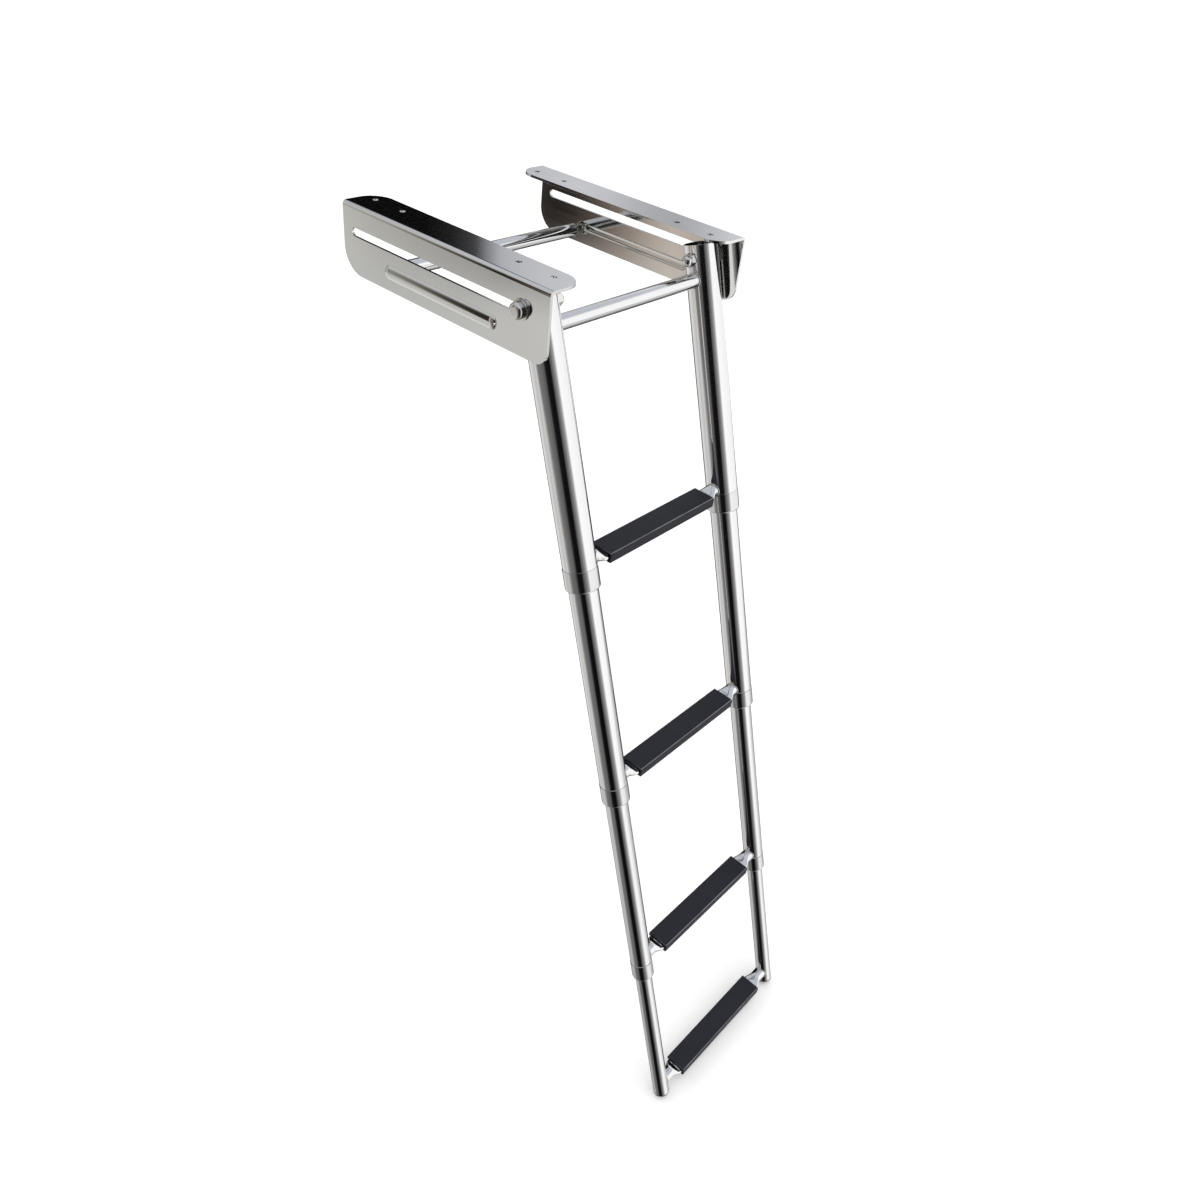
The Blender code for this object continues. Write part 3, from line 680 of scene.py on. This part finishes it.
class LADDER_OT_brackets(bpy.types.Operator):
    """Model the two slotted angle brackets, with their pressed ribs and screw holes"""

    bl_idname = "ladder.brackets"
    bl_label = "Brackets"

    def web_and_flange(self, sizes):
        """The left bracket: a web slab, its top edge spun round the bend, and the flange."""
        low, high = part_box("left_bracket")
        length = high.y - low.y
        height = high.z - low.z - sizes.bend
        centre_x = -WEB_OUTER + sizes.plate / 2
        piece = block(
            (sizes.plate, length, height),
            (centre_x, (low.y + high.y) / 2, low.z + height / 2),
        )
        edit(piece)
        for radius, end in ((sizes.front_corner, low.y), (sizes.back_corner, high.y)):
            pick("edges", runs_along(end, low.z))
            bpy.ops.mesh.bevel(offset=radius, segments=24, affect="EDGES")
        pick("faces", lambda face: face.normal.z > 0.9)
        bpy.ops.mesh.spin(
            steps=10,
            angle=-QUARTER,
            center=(-WEB_OUTER + sizes.bend, 0.0, high.z - sizes.bend),
            axis=(0.0, 1.0, 0.0),
        )
        flange_reach = high.x + WEB_OUTER - sizes.bend
        extrude(x=flange_reach)
        pick(
            "edges",
            lambda edge: all(abs(v.co.x - high.x) < TOUCHING for v in edge.verts)
            and abs(edge.verts[0].co.y - edge.verts[1].co.y) < 1e-6,
        )
        bpy.ops.mesh.bevel(offset=sizes.flange_corner, segments=24, affect="EDGES")
        face_outwards(piece)
        return piece

    def capsule(self, width, front, back, height, depth_from, depth_to):
        """A round-ended bar through the web, to cut with."""
        middle_x = (depth_from + depth_to) / 2
        tool = bar(width / 2, depth_to - depth_from, 64, (middle_x, front, height), facing(1))
        edit(tool)
        pick("verts", lambda vert: vert.co.y > front + 1e-6)
        bpy.ops.transform.translate(value=(0.0, back - front, 0.0))
        object_mode()
        return tool

    def press_rib(self, piece, sizes):
        """Raise the rib by stepped insets of its outline, and sink its groove inside."""
        front = PIVOT.y + sizes.rib_start + sizes.rib_height / 2
        back = PIVOT.y + sizes.rib_start + sizes.rib_length - sizes.rib_height / 2
        height = PIVOT.z - sizes.rib_drop
        sliver = 0.00002
        web_inner = -WEB_OUTER + sizes.plate
        marks = (
            (-WEB_OUTER, -1.0, sizes.rib_height, sizes.rib_depth),
            (web_inner, 1.0, sizes.rib_height * 0.72, -sizes.rib_depth),
        )
        for face_x, outwards, width, depth in marks:
            outline = (face_x - sliver, face_x + sliver)
            cut(piece, self.capsule(width, front, back, height, *outline))
            edit(piece)
            seat = face_x - outwards * sliver
            pick(
                "faces",
                lambda face: abs(face.calc_center_median().x - seat) < sliver / 3
                and abs(face.normal.x) > 0.99
                and abs(face.calc_center_median().z - height) < width / 2,
            )
            steps = 9
            reach = width * 0.44
            foot = 0.12
            before = 0.0
            rise_before = 0.0
            for step in range(1, steps + 1):
                share = step / steps
                across = reach * (1 - math.cos(share * QUARTER))
                across = reach * (foot * share + (1 - foot) * (across / reach))
                rise = depth * math.sin(share * QUARTER) ** 1.15
                bpy.ops.mesh.inset(thickness=across - before, depth=rise - rise_before)
                before = across
                rise_before = rise
            object_mode()

    def execute(self, context):
        sizes = context.scene.bracket_sizes
        low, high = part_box("left_bracket")
        piece = self.web_and_flange(sizes)
        through = (-WEB_OUTER - 0.01, -WEB_OUTER + 0.01)
        slot = self.capsule(sizes.slot, PIVOT.y, PIVOT.y + TRAVEL, PIVOT.z, *through)
        cut(piece, slot)
        hole_x = -WEB_OUTER + sizes.screw_inset
        screws = [low.y + inset for inset in SCREWS_FROM_FRONT]
        screws += [high.y - inset for inset in SCREWS_FROM_BACK]
        for hole_y in screws:
            cut(piece, bar(sizes.screw_hole / 2, 0.02, 48, (hole_x, hole_y, 0.0)))
        edit(piece)
        bevel(0.00035, 2, degrees=50)
        object_mode()
        self.press_rib(piece, sizes)
        # Small drain hole in the rib's front end
        rib_tip = (
            -WEB_OUTER - 0.0012,
            PIVOT.y + sizes.rib_start + 0.0016,
            PIVOT.z - sizes.rib_drop,
        )
        slant = (QUARTER, 0.0, -math.radians(RIB_HOLE_DEGREES))
        cut(piece, bar(RIB_HOLE_RADIUS, RIB_HOLE_DEPTH, 32, rib_tip, slant))
        face_outwards(piece)
        origin = (0.0, 0.0, 0.0)
        settle_pair(
            piece,
            "bracket_plate",
            "mount",
            "plate",
            "bracket",
            origin,
            origin,
            flip=True,
        )
        return {"FINISHED"}


class LADDER_OT_brace(bpy.types.Operator):
    """Model the fixed brace tube and its hexagon bosses"""

    bl_idname = "ladder.brace"
    bl_label = "Brace"

    def execute(self, context):
        sizes = context.scene.ladder_sizes
        span = extent("cross_brace")
        place = middle("cross_brace")
        brace = tube(span.z / 2, sizes.wall, span.x)
        settle(
            brace,
            "brace_tube",
            "mount",
            "cross",
            ["cross_brace"],
            place,
            facing(1),
        )
        flats = extent("left_brace_end").z
        boss = bar(flats / 2, BOSS_THICKNESS, 6)
        edit(boss)
        bevel(0.0007, 3)
        object_mode()
        web_inner = WEB_OUTER - context.scene.bracket_sizes.plate
        centre_x = web_inner - (BOSS_THICKNESS / 2 + sizes.gap)
        at = (centre_x, place.y, place.z)
        settle_pair(boss, "brace_boss", "mount", "weld", "brace_end", at)
        return {"FINISHED"}


class LADDER_OT_pivots(bpy.types.Operator):
    """Model the pivot bolts, washers and domed cap nuts"""

    bl_idname = "ladder.pivots"
    bl_label = "Pivots"

    def execute(self, context):
        sizes = context.scene.ladder_sizes
        washer_size = extent("right_pivot_washer")
        radius = washer_size.z / 2
        pieces = (
            (
                tube(radius, radius - BOLT_HOLE, washer_size.x, 0.0003, 64),
                "bolt_washer",
                "pivot_washer",
                middle("right_pivot_washer").x,
            ),
            (
                self.bolt(sizes),
                "shoulder_bolt",
                "pivot_bolt",
                WEB_OUTER + washer_size.x + 2 * sizes.gap,
            ),
            (self.nut(sizes), "cap_nut", "pivot_nut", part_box("right_pivot_nut")[1].x),
        )
        for shape, name, node, x in pieces:
            at = (x, PIVOT.y, PIVOT.z)
            settle_pair(shape, name, "pivot", "bolt", node, at)
        return {"FINISHED"}

    def bolt(self, sizes):
        """Round-headed bolt along Z: the head stands on the origin, the shank runs down."""
        low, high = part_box("right_pivot_bolt")
        washer = extent("right_pivot_washer").x
        under_head = WEB_OUTER + washer + 2 * sizes.gap
        head_height = high.x - under_head
        head_radius = (high.z - low.z) / 2
        head = bar(head_radius, head_height, 96, (0.0, 0.0, head_height / 2))
        edit(head)
        bevel(
            head_height * 0.55,
            8,
            lambda edge: all(v.co.z > head_height * 0.9 for v in edge.verts),
        )
        bevel(0.0003, 2, lambda edge: all(v.co.z < TOUCHING for v in edge.verts))
        object_mode()
        shank_length = under_head - low.x
        shank = bar(SHANK, shank_length, 48, (0.0, 0.0, 0.001 - shank_length / 2))
        cut(head, shank, "UNION")
        return head

    def ball(self, radii, height):
        """A squashed ball at this height, to shape the nut with."""
        object_mode()
        bpy.ops.mesh.primitive_uv_sphere_add(
            segments=64, ring_count=32, radius=1.0, location=(0.0, 0.0, height)
        )
        made = bpy.context.object
        made.scale = radii
        keep_place()
        return made

    def nut(self, sizes):
        """Cap nut along Z: its open face is at the origin and its dome points down."""
        low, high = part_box("right_pivot_nut")
        flats = 0.013
        hexagon_height = 0.0065
        corner = flats / math.sqrt(3)
        body = bar(corner, hexagon_height, 6, (0.0, 0.0, -hexagon_height / 2))
        chamfer = self.ball((corner * 1.14, corner * 1.14, corner * 0.86), -hexagon_height * 0.42)
        cut(body, chamfer, "INTERSECT")
        dome_height = (high.x - low.x) - hexagon_height
        dome = self.ball((flats * 0.47, flats * 0.47, dome_height), -hexagon_height)
        cut(body, dome, "UNION")
        cut(body, bar(BOLT_HOLE, 2 * hexagon_height, 48))
        edit(body)
        bevel(0.0002, 2, degrees=35)
        object_mode()
        return body


class LADDER_OT_rails(bpy.types.Operator):
    """Model the eight rail tubes and the crossbar between the top pair"""

    bl_idname = "ladder.rails"
    bl_label = "Rails"

    def execute(self, context):
        sizes = context.scene.ladder_sizes
        for label in SECTIONS:
            node = f"right_{label}_rail"
            radius = extent(node).x / 2
            length = leaning_length(node)
            rail = tube(radius, sizes.wall, length)
            centre = middle(node)
            if label == "top":
                up = (PIVOT.z - centre.z) * math.cos(LEAN) + (PIVOT.y - centre.y) * math.sin(LEAN)
                drill = bar(BOLT_HOLE, 0.08, 48, (0.0, 0.0, up), facing(1))
                cut(rail, drill)
            settle_pair(
                rail,
                label + "_tube",
                section_body(label),
                "rail",
                label + "_rail",
                (HALF_SPAN, centre.y, centre.z),
                ON_LADDER,
            )
        top_radius = extent("right_top_rail").x / 2
        centre = middle("top_crossbar")
        cross = tube(CROSSBAR_RADIUS, sizes.wall, 2 * HALF_SPAN)
        make_active(cross)
        cross.rotation_euler = facing(1)
        keep_place()
        coped_ends(cross, top_radius)
        settle(
            cross,
            "crossbar_tube",
            "top_section",
            "cross",
            ["top_crossbar"],
            centre,
            ON_LADDER,
        )
        bead = weld_bead(CROSSBAR_RADIUS, top_radius, sizes.weld)
        settle_welds(bead, "crossbar_weld", "top", centre)
        return {"FINISHED"}


class LADDER_OT_rungs(bpy.types.Operator):
    """Model the rungs, round at the rails and flat under the treads, with their welds"""

    bl_idname = "ladder.rungs"
    bl_label = "Rungs"

    def flattened(self, sizes, rail_radius):
        """Rung along X, level and flat between its tapers, its round ends saddled to the rails."""
        to_level = Matrix.Rotation(LEAN, 3, "X")
        drop = flat_drop()
        flat_half = (
            HALF_SPAN - extent("right_top_rail").x / 2 - sizes.rung_round_end - sizes.rung_taper
        )
        piece = bar(sizes.rung / 2, 2 * HALF_SPAN, 64, turn=facing(1))
        edit(piece)
        pick("faces", lambda face: abs(face.normal.x) > 0.9)
        bpy.ops.mesh.poke()
        pick("edges", lambda edge: abs(edge.verts[0].co.x - edge.verts[1].co.x) > HALF_SPAN)
        bpy.ops.mesh.subdivide(number_cuts=125)
        object_mode()

        def press(point):
            angle = math.atan2(point.z, point.y)
            from_axis = math.hypot(point.y, point.z)
            end = HALF_SPAN - math.sqrt(
                rail_radius**2 - (from_axis * math.cos(angle + LEAN)) ** 2
            )
            x = abs(point.x)
            if x > flat_half:
                x = flat_half + (x - flat_half) * (end - flat_half) / (HALF_SPAN - flat_half)
            share = min(max((x - flat_half) / sizes.rung_taper, 0.0), 1.0)
            ease = share * share * (3 - 2 * share)
            half_width = (sizes.rung_flat_width * (1 - ease) + sizes.rung * ease) / 2
            half_height = (sizes.rung_flat_height * (1 - ease) + sizes.rung * ease) / 2
            power = 0.62 + 0.38 * ease
            cosine, sine = math.cos(angle), math.sin(angle)
            radius = from_axis / (sizes.rung / 2)
            y = half_width * math.copysign(abs(cosine) ** power, cosine) * radius
            z = half_height * math.copysign(abs(sine) ** power, sine) * radius
            # The flat lies level and a little low, while the section leans
            return to_level @ Vector((math.copysign(x, point.x), y, z - drop * (1 - ease)))

        reshape(piece, press)
        face_outwards(piece)
        return piece

    def execute(self, context):
        sizes = context.scene.ladder_sizes
        for label in SECTIONS:
            centre = middle(label + "_rung")
            rail_radius = extent(f"right_{label}_rail").x / 2
            settle(
                self.flattened(sizes, rail_radius),
                label + "_step_tube",
                section_body(label),
                "cross",
                [label + "_rung"],
                centre,
                ON_LADDER,
            )
            bead = weld_bead(sizes.rung / 2, rail_radius, sizes.weld)
            settle_welds(bead, label + "_step_weld", label, centre)
        return {"FINISHED"}


class LADDER_OT_treads(bpy.types.Operator):
    """Model the grained plastic treads that hook over the flattened rungs"""

    bl_idname = "ladder.treads"
    bl_label = "Treads"

    def cover(self, sizes):
        """Tread along X: a top slab with a hooked front lip and a short back lip."""
        half_length = extent("top_tread").x / 2
        half_inside = sizes.rung_flat_width / 2 + sizes.gap
        half_outside = half_inside + sizes.tread_wall
        under_top = sizes.rung_flat_height / 2 + sizes.gap
        top = under_top + sizes.tread_wall
        hook_top = -under_top
        hook_bottom = hook_top - sizes.tread_lip
        back_bottom = top - sizes.tread_back
        piece = block(
            (2 * half_length, 2 * half_outside, sizes.tread_wall),
            (0.0, 0.0, (top + under_top) / 2),
        )
        edit(piece)
        for place in (-half_inside, half_inside):
            bpy.ops.mesh.select_all(action="SELECT")
            bpy.ops.mesh.bisect(plane_co=(0.0, place, 0.0), plane_no=(0.0, 1.0, 0.0))

        def drop(test, distance):
            pick("faces", test)
            extrude(z=-distance)

        def underside(sign):
            return (
                lambda face: face.normal.z < -0.9
                and sign * face.calc_center_median().y > half_inside
            )

        drop(underside(1), under_top - back_bottom)
        drop(underside(-1), under_top - hook_top)
        drop(underside(-1), sizes.tread_lip)
        pick(
            "faces",
            lambda face: face.normal.y > 0.9
            and face.calc_center_median().y < 0
            and face.calc_center_median().z < hook_top,
        )
        extrude(y=sizes.tread_hook)

        front_rounding = 0.0030
        for y, z, rounding, segments in (
            (-half_outside, top, front_rounding, 8),
            (-half_outside, hook_bottom, 0.0026, 8),
            (half_outside, top, 0.0010, 4),
        ):
            pick("edges", runs_along(y, z))
            bpy.ops.mesh.bevel(offset=rounding, segments=segments, affect="EDGES")
        bevel(0.00045, 3, degrees=50)
        face_outwards(piece)
        # Painted highlight: a lighter line that peaks high on the front rounding and stops short
        # of the flat top
        highlight_paint = piece.data.attributes.new("lip_wear", "FLOAT", "POINT")
        highlight_peak, highlight_spread = 0.86, 0.13
        for vert in piece.data.vertices:
            upward = (vert.co.z - (top - front_rounding)) / front_rounding
            if vert.co.y < -half_outside + 0.0031:
                share = 1.0 - abs(upward - highlight_peak) / highlight_spread
                highlight_paint.data[vert.index].value = max(0.0, share)
        return piece

    def execute(self, context):
        sizes = context.scene.ladder_sizes
        shape = self.cover(sizes)
        drop = Vector((0.0, 0.0, flat_drop()))
        for label in SECTIONS:
            settle(
                again(shape),
                label + "_step_cover",
                section_body(label),
                "tread",
                [label + "_tread"],
                middle(label + "_rung") - drop,
            )
        bpy.data.objects.remove(shape, do_unlink=True)
        return {"FINISHED"}


class LADDER_OT_collars(bpy.types.Operator):
    """Model the collars at the telescoping joints and the nylon bushes inside them"""

    bl_idname = "ladder.collars"
    bl_label = "Collars"

    def execute(self, context):
        sizes = context.scene.ladder_sizes
        for index, label in enumerate(SECTIONS[:-1]):
            node = f"right_{label}_collar"
            outer = extent(node).x / 2
            next_radius = extent(f"right_{SECTIONS[index + 1]}_rail").x / 2
            bush_node = f"right_{label}_collar_bush"
            bush_outer = extent(bush_node).x / 2
            bush_length = leaning_length(bush_node)
            tube_end = -sizes.rung / 2 - 2 * sizes.gap
            top = tube_end + sizes.collar_overlap
            # A little short of the collision shape, so that it clears the next rung's welds
            height = sizes.collar_height + sizes.collar_overlap - sizes.collar_relief
            collar = bar(outer, height, 128, (0.0, 0.0, top - height / 2))
            edit(collar)
            hollow(outer - next_radius - 2 * sizes.gap)
            lower = top - height
            bevel(
                sizes.collar_rounding,
                8,
                lambda edge: all(
                    v.co.z < lower + TOUCHING and math.hypot(v.co.x, v.co.y) > outer - 1e-4
                    for v in edge.verts
                ),
            )
            bevel(0.0003, 2, degrees=60)
            object_mode()
            # Room for the bush, so that the two never share space
            seat_length = bush_length + sizes.gap
            seat_bottom = lower + sizes.collar_lip - sizes.collar_relief
            seat_at = (0.0, 0.0, seat_bottom + seat_length / 2)
            cut(collar, bar(bush_outer + sizes.gap, seat_length, 96, seat_at))
            # Thin skirt that reaches up over the tube, notched for the rung
            rail_radius = extent(f"right_{label}_rail").x / 2
            cut(collar, bar(rail_radius + 0.00005, 0.03, 128, (0.0, 0.0, tube_end + 0.015)))
            notch = bar(sizes.rung / 2 + 0.0002, 0.04, 64, (0.02, 0.0, 0.0), facing(1))
            cut(collar, notch)
            bush = tube(bush_outer, bush_outer - next_radius - sizes.gap, bush_length, 0.0002)
            body = section_body(label)
            rung = middle(label + "_rung")
            settle_pair(
                collar,
                label + "_sleeve",
                body,
                "collar",
                label + "_collar",
                (HALF_SPAN, rung.y, rung.z),
                ON_LADDER,
                flip=True,
            )
            place = middle(bush_node)
            settle_pair(
                bush,
                label + "_sleeve_bush",
                body,
                "nylon",
                label + "_collar_bush",
                (HALF_SPAN, place.y, place.z),
                ON_LADDER,
            )
        return {"FINISHED"}


class LADDER_OT_feet(bpy.types.Operator):
    """Model the domed plugs in the feet of the ladder"""

    bl_idname = "ladder.feet"
    bl_label = "Feet"

    def execute(self, context):
        sizes = context.scene.ladder_sizes
        radius = extent("right_fourth_rail").x / 2
        plug = bar(radius, FOOT_HEIGHT, 96, (0.0, 0.0, -FOOT_HEIGHT / 2))
        edit(plug)
        bevel(
            FOOT_HEIGHT * 0.9,
            10,
            lambda edge: all(v.co.z < -FOOT_HEIGHT * 0.9 for v in edge.verts),
        )
        object_mode()
        inside = radius - sizes.wall - sizes.gap
        spigot = bar(inside, SPIGOT_LENGTH, 96, (0.0, 0.0, SPIGOT_TOP - SPIGOT_LENGTH / 2))
        cut(plug, spigot, "UNION")
        rail = middle("right_fourth_rail")
        half = leaning_length("right_fourth_rail") / 2 + sizes.gap
        down = Vector((0.0, -math.sin(LEAN), -math.cos(LEAN))) * half
        settle_pair(
            plug,
            "foot_plug",
            "fourth_section",
            "cap",
            "foot_cap",
            (HALF_SPAN, rail.y + down.y, rail.z + down.z),
            ON_LADDER,
        )
        return {"FINISHED"}


class LADDER_OT_bearings(bpy.types.Operator):
    """Give the hidden guide sleeves and slide washers their nylon finish"""

    bl_idname = "ladder.bearings"
    bl_label = "Bearings"

    def execute(self, context):
        for name, node in frame["nodes"].items():
            if name.endswith("_guide") or name.endswith("_slide_spacer"):
                node.data.materials.clear()
                node.data.materials.append(finish("nylon"))
        return {"FINISHED"}


# Stage


# What polished metal mirrors low round the studio: compass angle in degrees, then tone
LOW_SURROUND = (
    (-180, "6c6c6c"),
    (-168, "686868"),
    (-160, "585858"),
    (-154, "2c2c2c"),
    (-148, "101010"),
    (-127, "0c0c0c"),
    (-121, "3a3a3a"),
    (-114, "666666"),
    (-107, "7a7a7a"),
    (-98, "969696"),
    (-90, "cdcdcd"),
    (-80, "fafafa"),
    (-58, "f6f6f6"),
    (-40, "d0d0d0"),
    (-24, "bcbcbc"),
    (-10, "a0a0a0"),
    (8, "404040"),
    (38, "1c1c1c"),
    (62, "404040"),
    (78, "b0b0b0"),
    (90, "dedede"),
    (115, "cdcdcd"),
    (128, "c0c0c0"),
    (146, "d0ccc8"),
    (158, "a5a5a5"),
    (168, "7c7c7c"),
    (176, "707070"),
)

# The same from knee height up: a black screen stands on the far right and one behind
HIGH_SURROUND = (
    (-180, "6c6c6c"),
    (-160, "585858"),
    (-154, "2c2c2c"),
    (-148, "101010"),
    (-127, "0c0c0c"),
    (-114, "666666"),
    (-98, "969696"),
    (-82, "ffffff"),
    (20, "f0f0f0"),
    (31, "d8dade"),
    (37, "a4a6ac"),
    (42, "c4c6cc"),
    (46, "b8bac0"),
    (48, "303032"),
    (50, "060606"),
    (78, "0c0c0c"),
    (88, "808080"),
    (112, "a8a8a8"),
    (124, "c4c2be"),
    (128, "a8a6a2"),
    (131, "8c8a86"),
    (134, "504a46"),
    (136, "0e0c0b"),
    (138, "2c2522"),
    (141, "8a7c72"),
    (143, "c8beb6"),
    (146, "a89a90"),
    (150, "c4bab2"),
    (158, "787878"),
    (172, "6e6e6e"),
)

SURROUND_GAIN = 1.3


def surround_ramp(tree, compass, tones):
    """Colour by compass angle, eased from tone to tone."""
    node = add(tree, "ShaderNodeValToRGB", {"Fac": compass})
    ramp = node.color_ramp
    ramp.interpolation = "EASE"
    for index, (angle, tone) in enumerate(tones):
        stop = ramp.elements[0] if index == 0 else ramp.elements.new(0.5 + angle / 360)
        stop.color = (*linear(tone), 1.0)
    ramp.elements[-1].color = ramp.elements[0].color
    return node.outputs["Color"]


def studio_surround(scene):
    """Even white light for the floor and plastics; screens and pale walls for the metal."""
    world = bpy.data.worlds.new("studio_surround")
    scene.world = world
    world.use_nodes = True
    tree = world.node_tree
    white = tree.nodes["Background"]
    white.inputs["Color"].default_value = (1.0, 1.0, 1.0, 1.0)
    white.inputs["Strength"].default_value = 1.18
    direction = add(tree, "ShaderNodeTexCoord").outputs["Generated"]
    parts = add(tree, "ShaderNodeSeparateXYZ", {"Vector": direction}).outputs
    angle = add(
        tree, "ShaderNodeMath", {0: parts["Y"], 1: parts["X"]}, operation="ARCTAN2"
    ).outputs[0]
    compass = spread(tree, angle, -math.pi, math.pi, 0.0, 1.0)
    low = surround_ramp(tree, compass, LOW_SURROUND)
    # Straight down the tones draw together, as they do off a floor close by
    depth = spread(tree, parts["Z"], -0.95, -0.74, 0.5, 0.0)
    low = tint(tree, depth, low, linear("6a6a6a"))
    high = surround_ramp(tree, compass, HIGH_SURROUND)
    lifted = spread(tree, parts["Z"], -0.37, -0.29, 0.0, 1.0)
    walls = tint(tree, lifted, low, high)
    overhead = spread(tree, parts["Z"], 0.50, 0.66, 0.0, 1.0)
    room = tint(tree, overhead, walls, linear("bcc0c8"))
    mirrored_room = add(
        tree, "ShaderNodeBackground", {"Color": room, "Strength": SURROUND_GAIN}
    )
    path = add(tree, "ShaderNodeLightPath")
    both = add(tree, "ShaderNodeMixShader", {0: path.outputs["Is Glossy Ray"]})
    tree.links.new(white.outputs[0], both.inputs[1])
    tree.links.new(mirrored_room.outputs[0], both.inputs[2])
    tree.links.new(both.outputs[0], tree.nodes["World Output"].inputs["Surface"])


class LADDER_OT_stage(bpy.types.Operator):
    """Set up the pale floor, the soft studio light and the camera"""

    bl_idname = "ladder.stage"
    bl_label = "Stage"

    def execute(self, context):
        scene = context.scene
        floor_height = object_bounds()[0].z
        object_mode()
        at = (0.0, 0.0, floor_height - 0.0005)
        bpy.ops.mesh.primitive_plane_add(size=FLOOR_SIZE, location=at)
        floor = context.object
        floor.name = "studio_floor"
        made = bpy.data.materials.new("pale_studio_floor")
        made.use_nodes = True
        shader = made.node_tree.nodes["Principled BSDF"]
        shader.inputs["Base Color"].default_value = (*scene.finish_colours.floor, 1.0)
        shader.inputs["Roughness"].default_value = 0.9
        floor.data.materials.append(made)
        floor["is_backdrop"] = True
        floor.visible_glossy = False
        studio_surround(scene)
        camera = bpy.data.cameras.new("ladder_camera")
        camera.lens = 29.8
        camera.sensor_width = 36.0
        viewer = bpy.data.objects.new("ladder_camera", camera)
        viewer.location = (-0.7841, -0.7542, 0.3229)
        back = Vector((-0.62532, -0.49425, 0.60390))
        right = Vector((0.67370, -0.73246, 0.09813))
        up = back.cross(right)
        viewer.rotation_euler = Matrix((right, up, back)).transposed().to_euler()
        scene.collection.objects.link(viewer)
        scene.camera = viewer
        scene.view_settings.view_transform = "Standard"
        return {"FINISHED"}


class LADDER_PT_panel(bpy.types.Panel):
    """Lists the ladder's sizes, colours and operators."""

    bl_idname = "LADDER_PT_panel"
    bl_label = "Boarding ladder"
    bl_space_type = "VIEW_3D"
    bl_region_type = "UI"
    bl_category = "Ladder"

    def draw(self, context):
        for group in SETTINGS:
            box = self.layout.box()
            settings = getattr(context.scene, group)
            for name in settings.__annotations__:
                box.prop(settings, name)
        for operator in OPERATORS:
            self.layout.operator(operator.bl_idname)


SETTINGS = {
    "bracket_sizes": BracketSizes,
    "ladder_sizes": LadderSizes,
    "finish_colours": FinishColours,
}

OPERATORS = (
    LADDER_OT_brackets,
    LADDER_OT_brace,
    LADDER_OT_pivots,
    LADDER_OT_rails,
    LADDER_OT_rungs,
    LADDER_OT_treads,
    LADDER_OT_collars,
    LADDER_OT_feet,
    LADDER_OT_bearings,
    LADDER_OT_stage,
)


def register():
    for cls in (*SETTINGS.values(), *OPERATORS, LADDER_PT_panel):
        bpy.utils.register_class(cls)
    for name, group in SETTINGS.items():
        setattr(bpy.types.Scene, name, PointerProperty(type=group))


def unregister():
    for name in SETTINGS:
        delattr(bpy.types.Scene, name)
    for cls in (LADDER_PT_panel, *reversed(OPERATORS), *SETTINGS.values()):
        bpy.utils.unregister_class(cls)


def main():
    register()
    bpy.ops.ladder.brackets()
    bpy.ops.ladder.brace()
    bpy.ops.ladder.pivots()
    bpy.ops.ladder.rails()
    bpy.ops.ladder.rungs()
    bpy.ops.ladder.treads()
    bpy.ops.ladder.collars()
    bpy.ops.ladder.feet()
    bpy.ops.ladder.bearings()
    bpy.ops.ladder.stage()


if __name__ == "__main__":
    main()
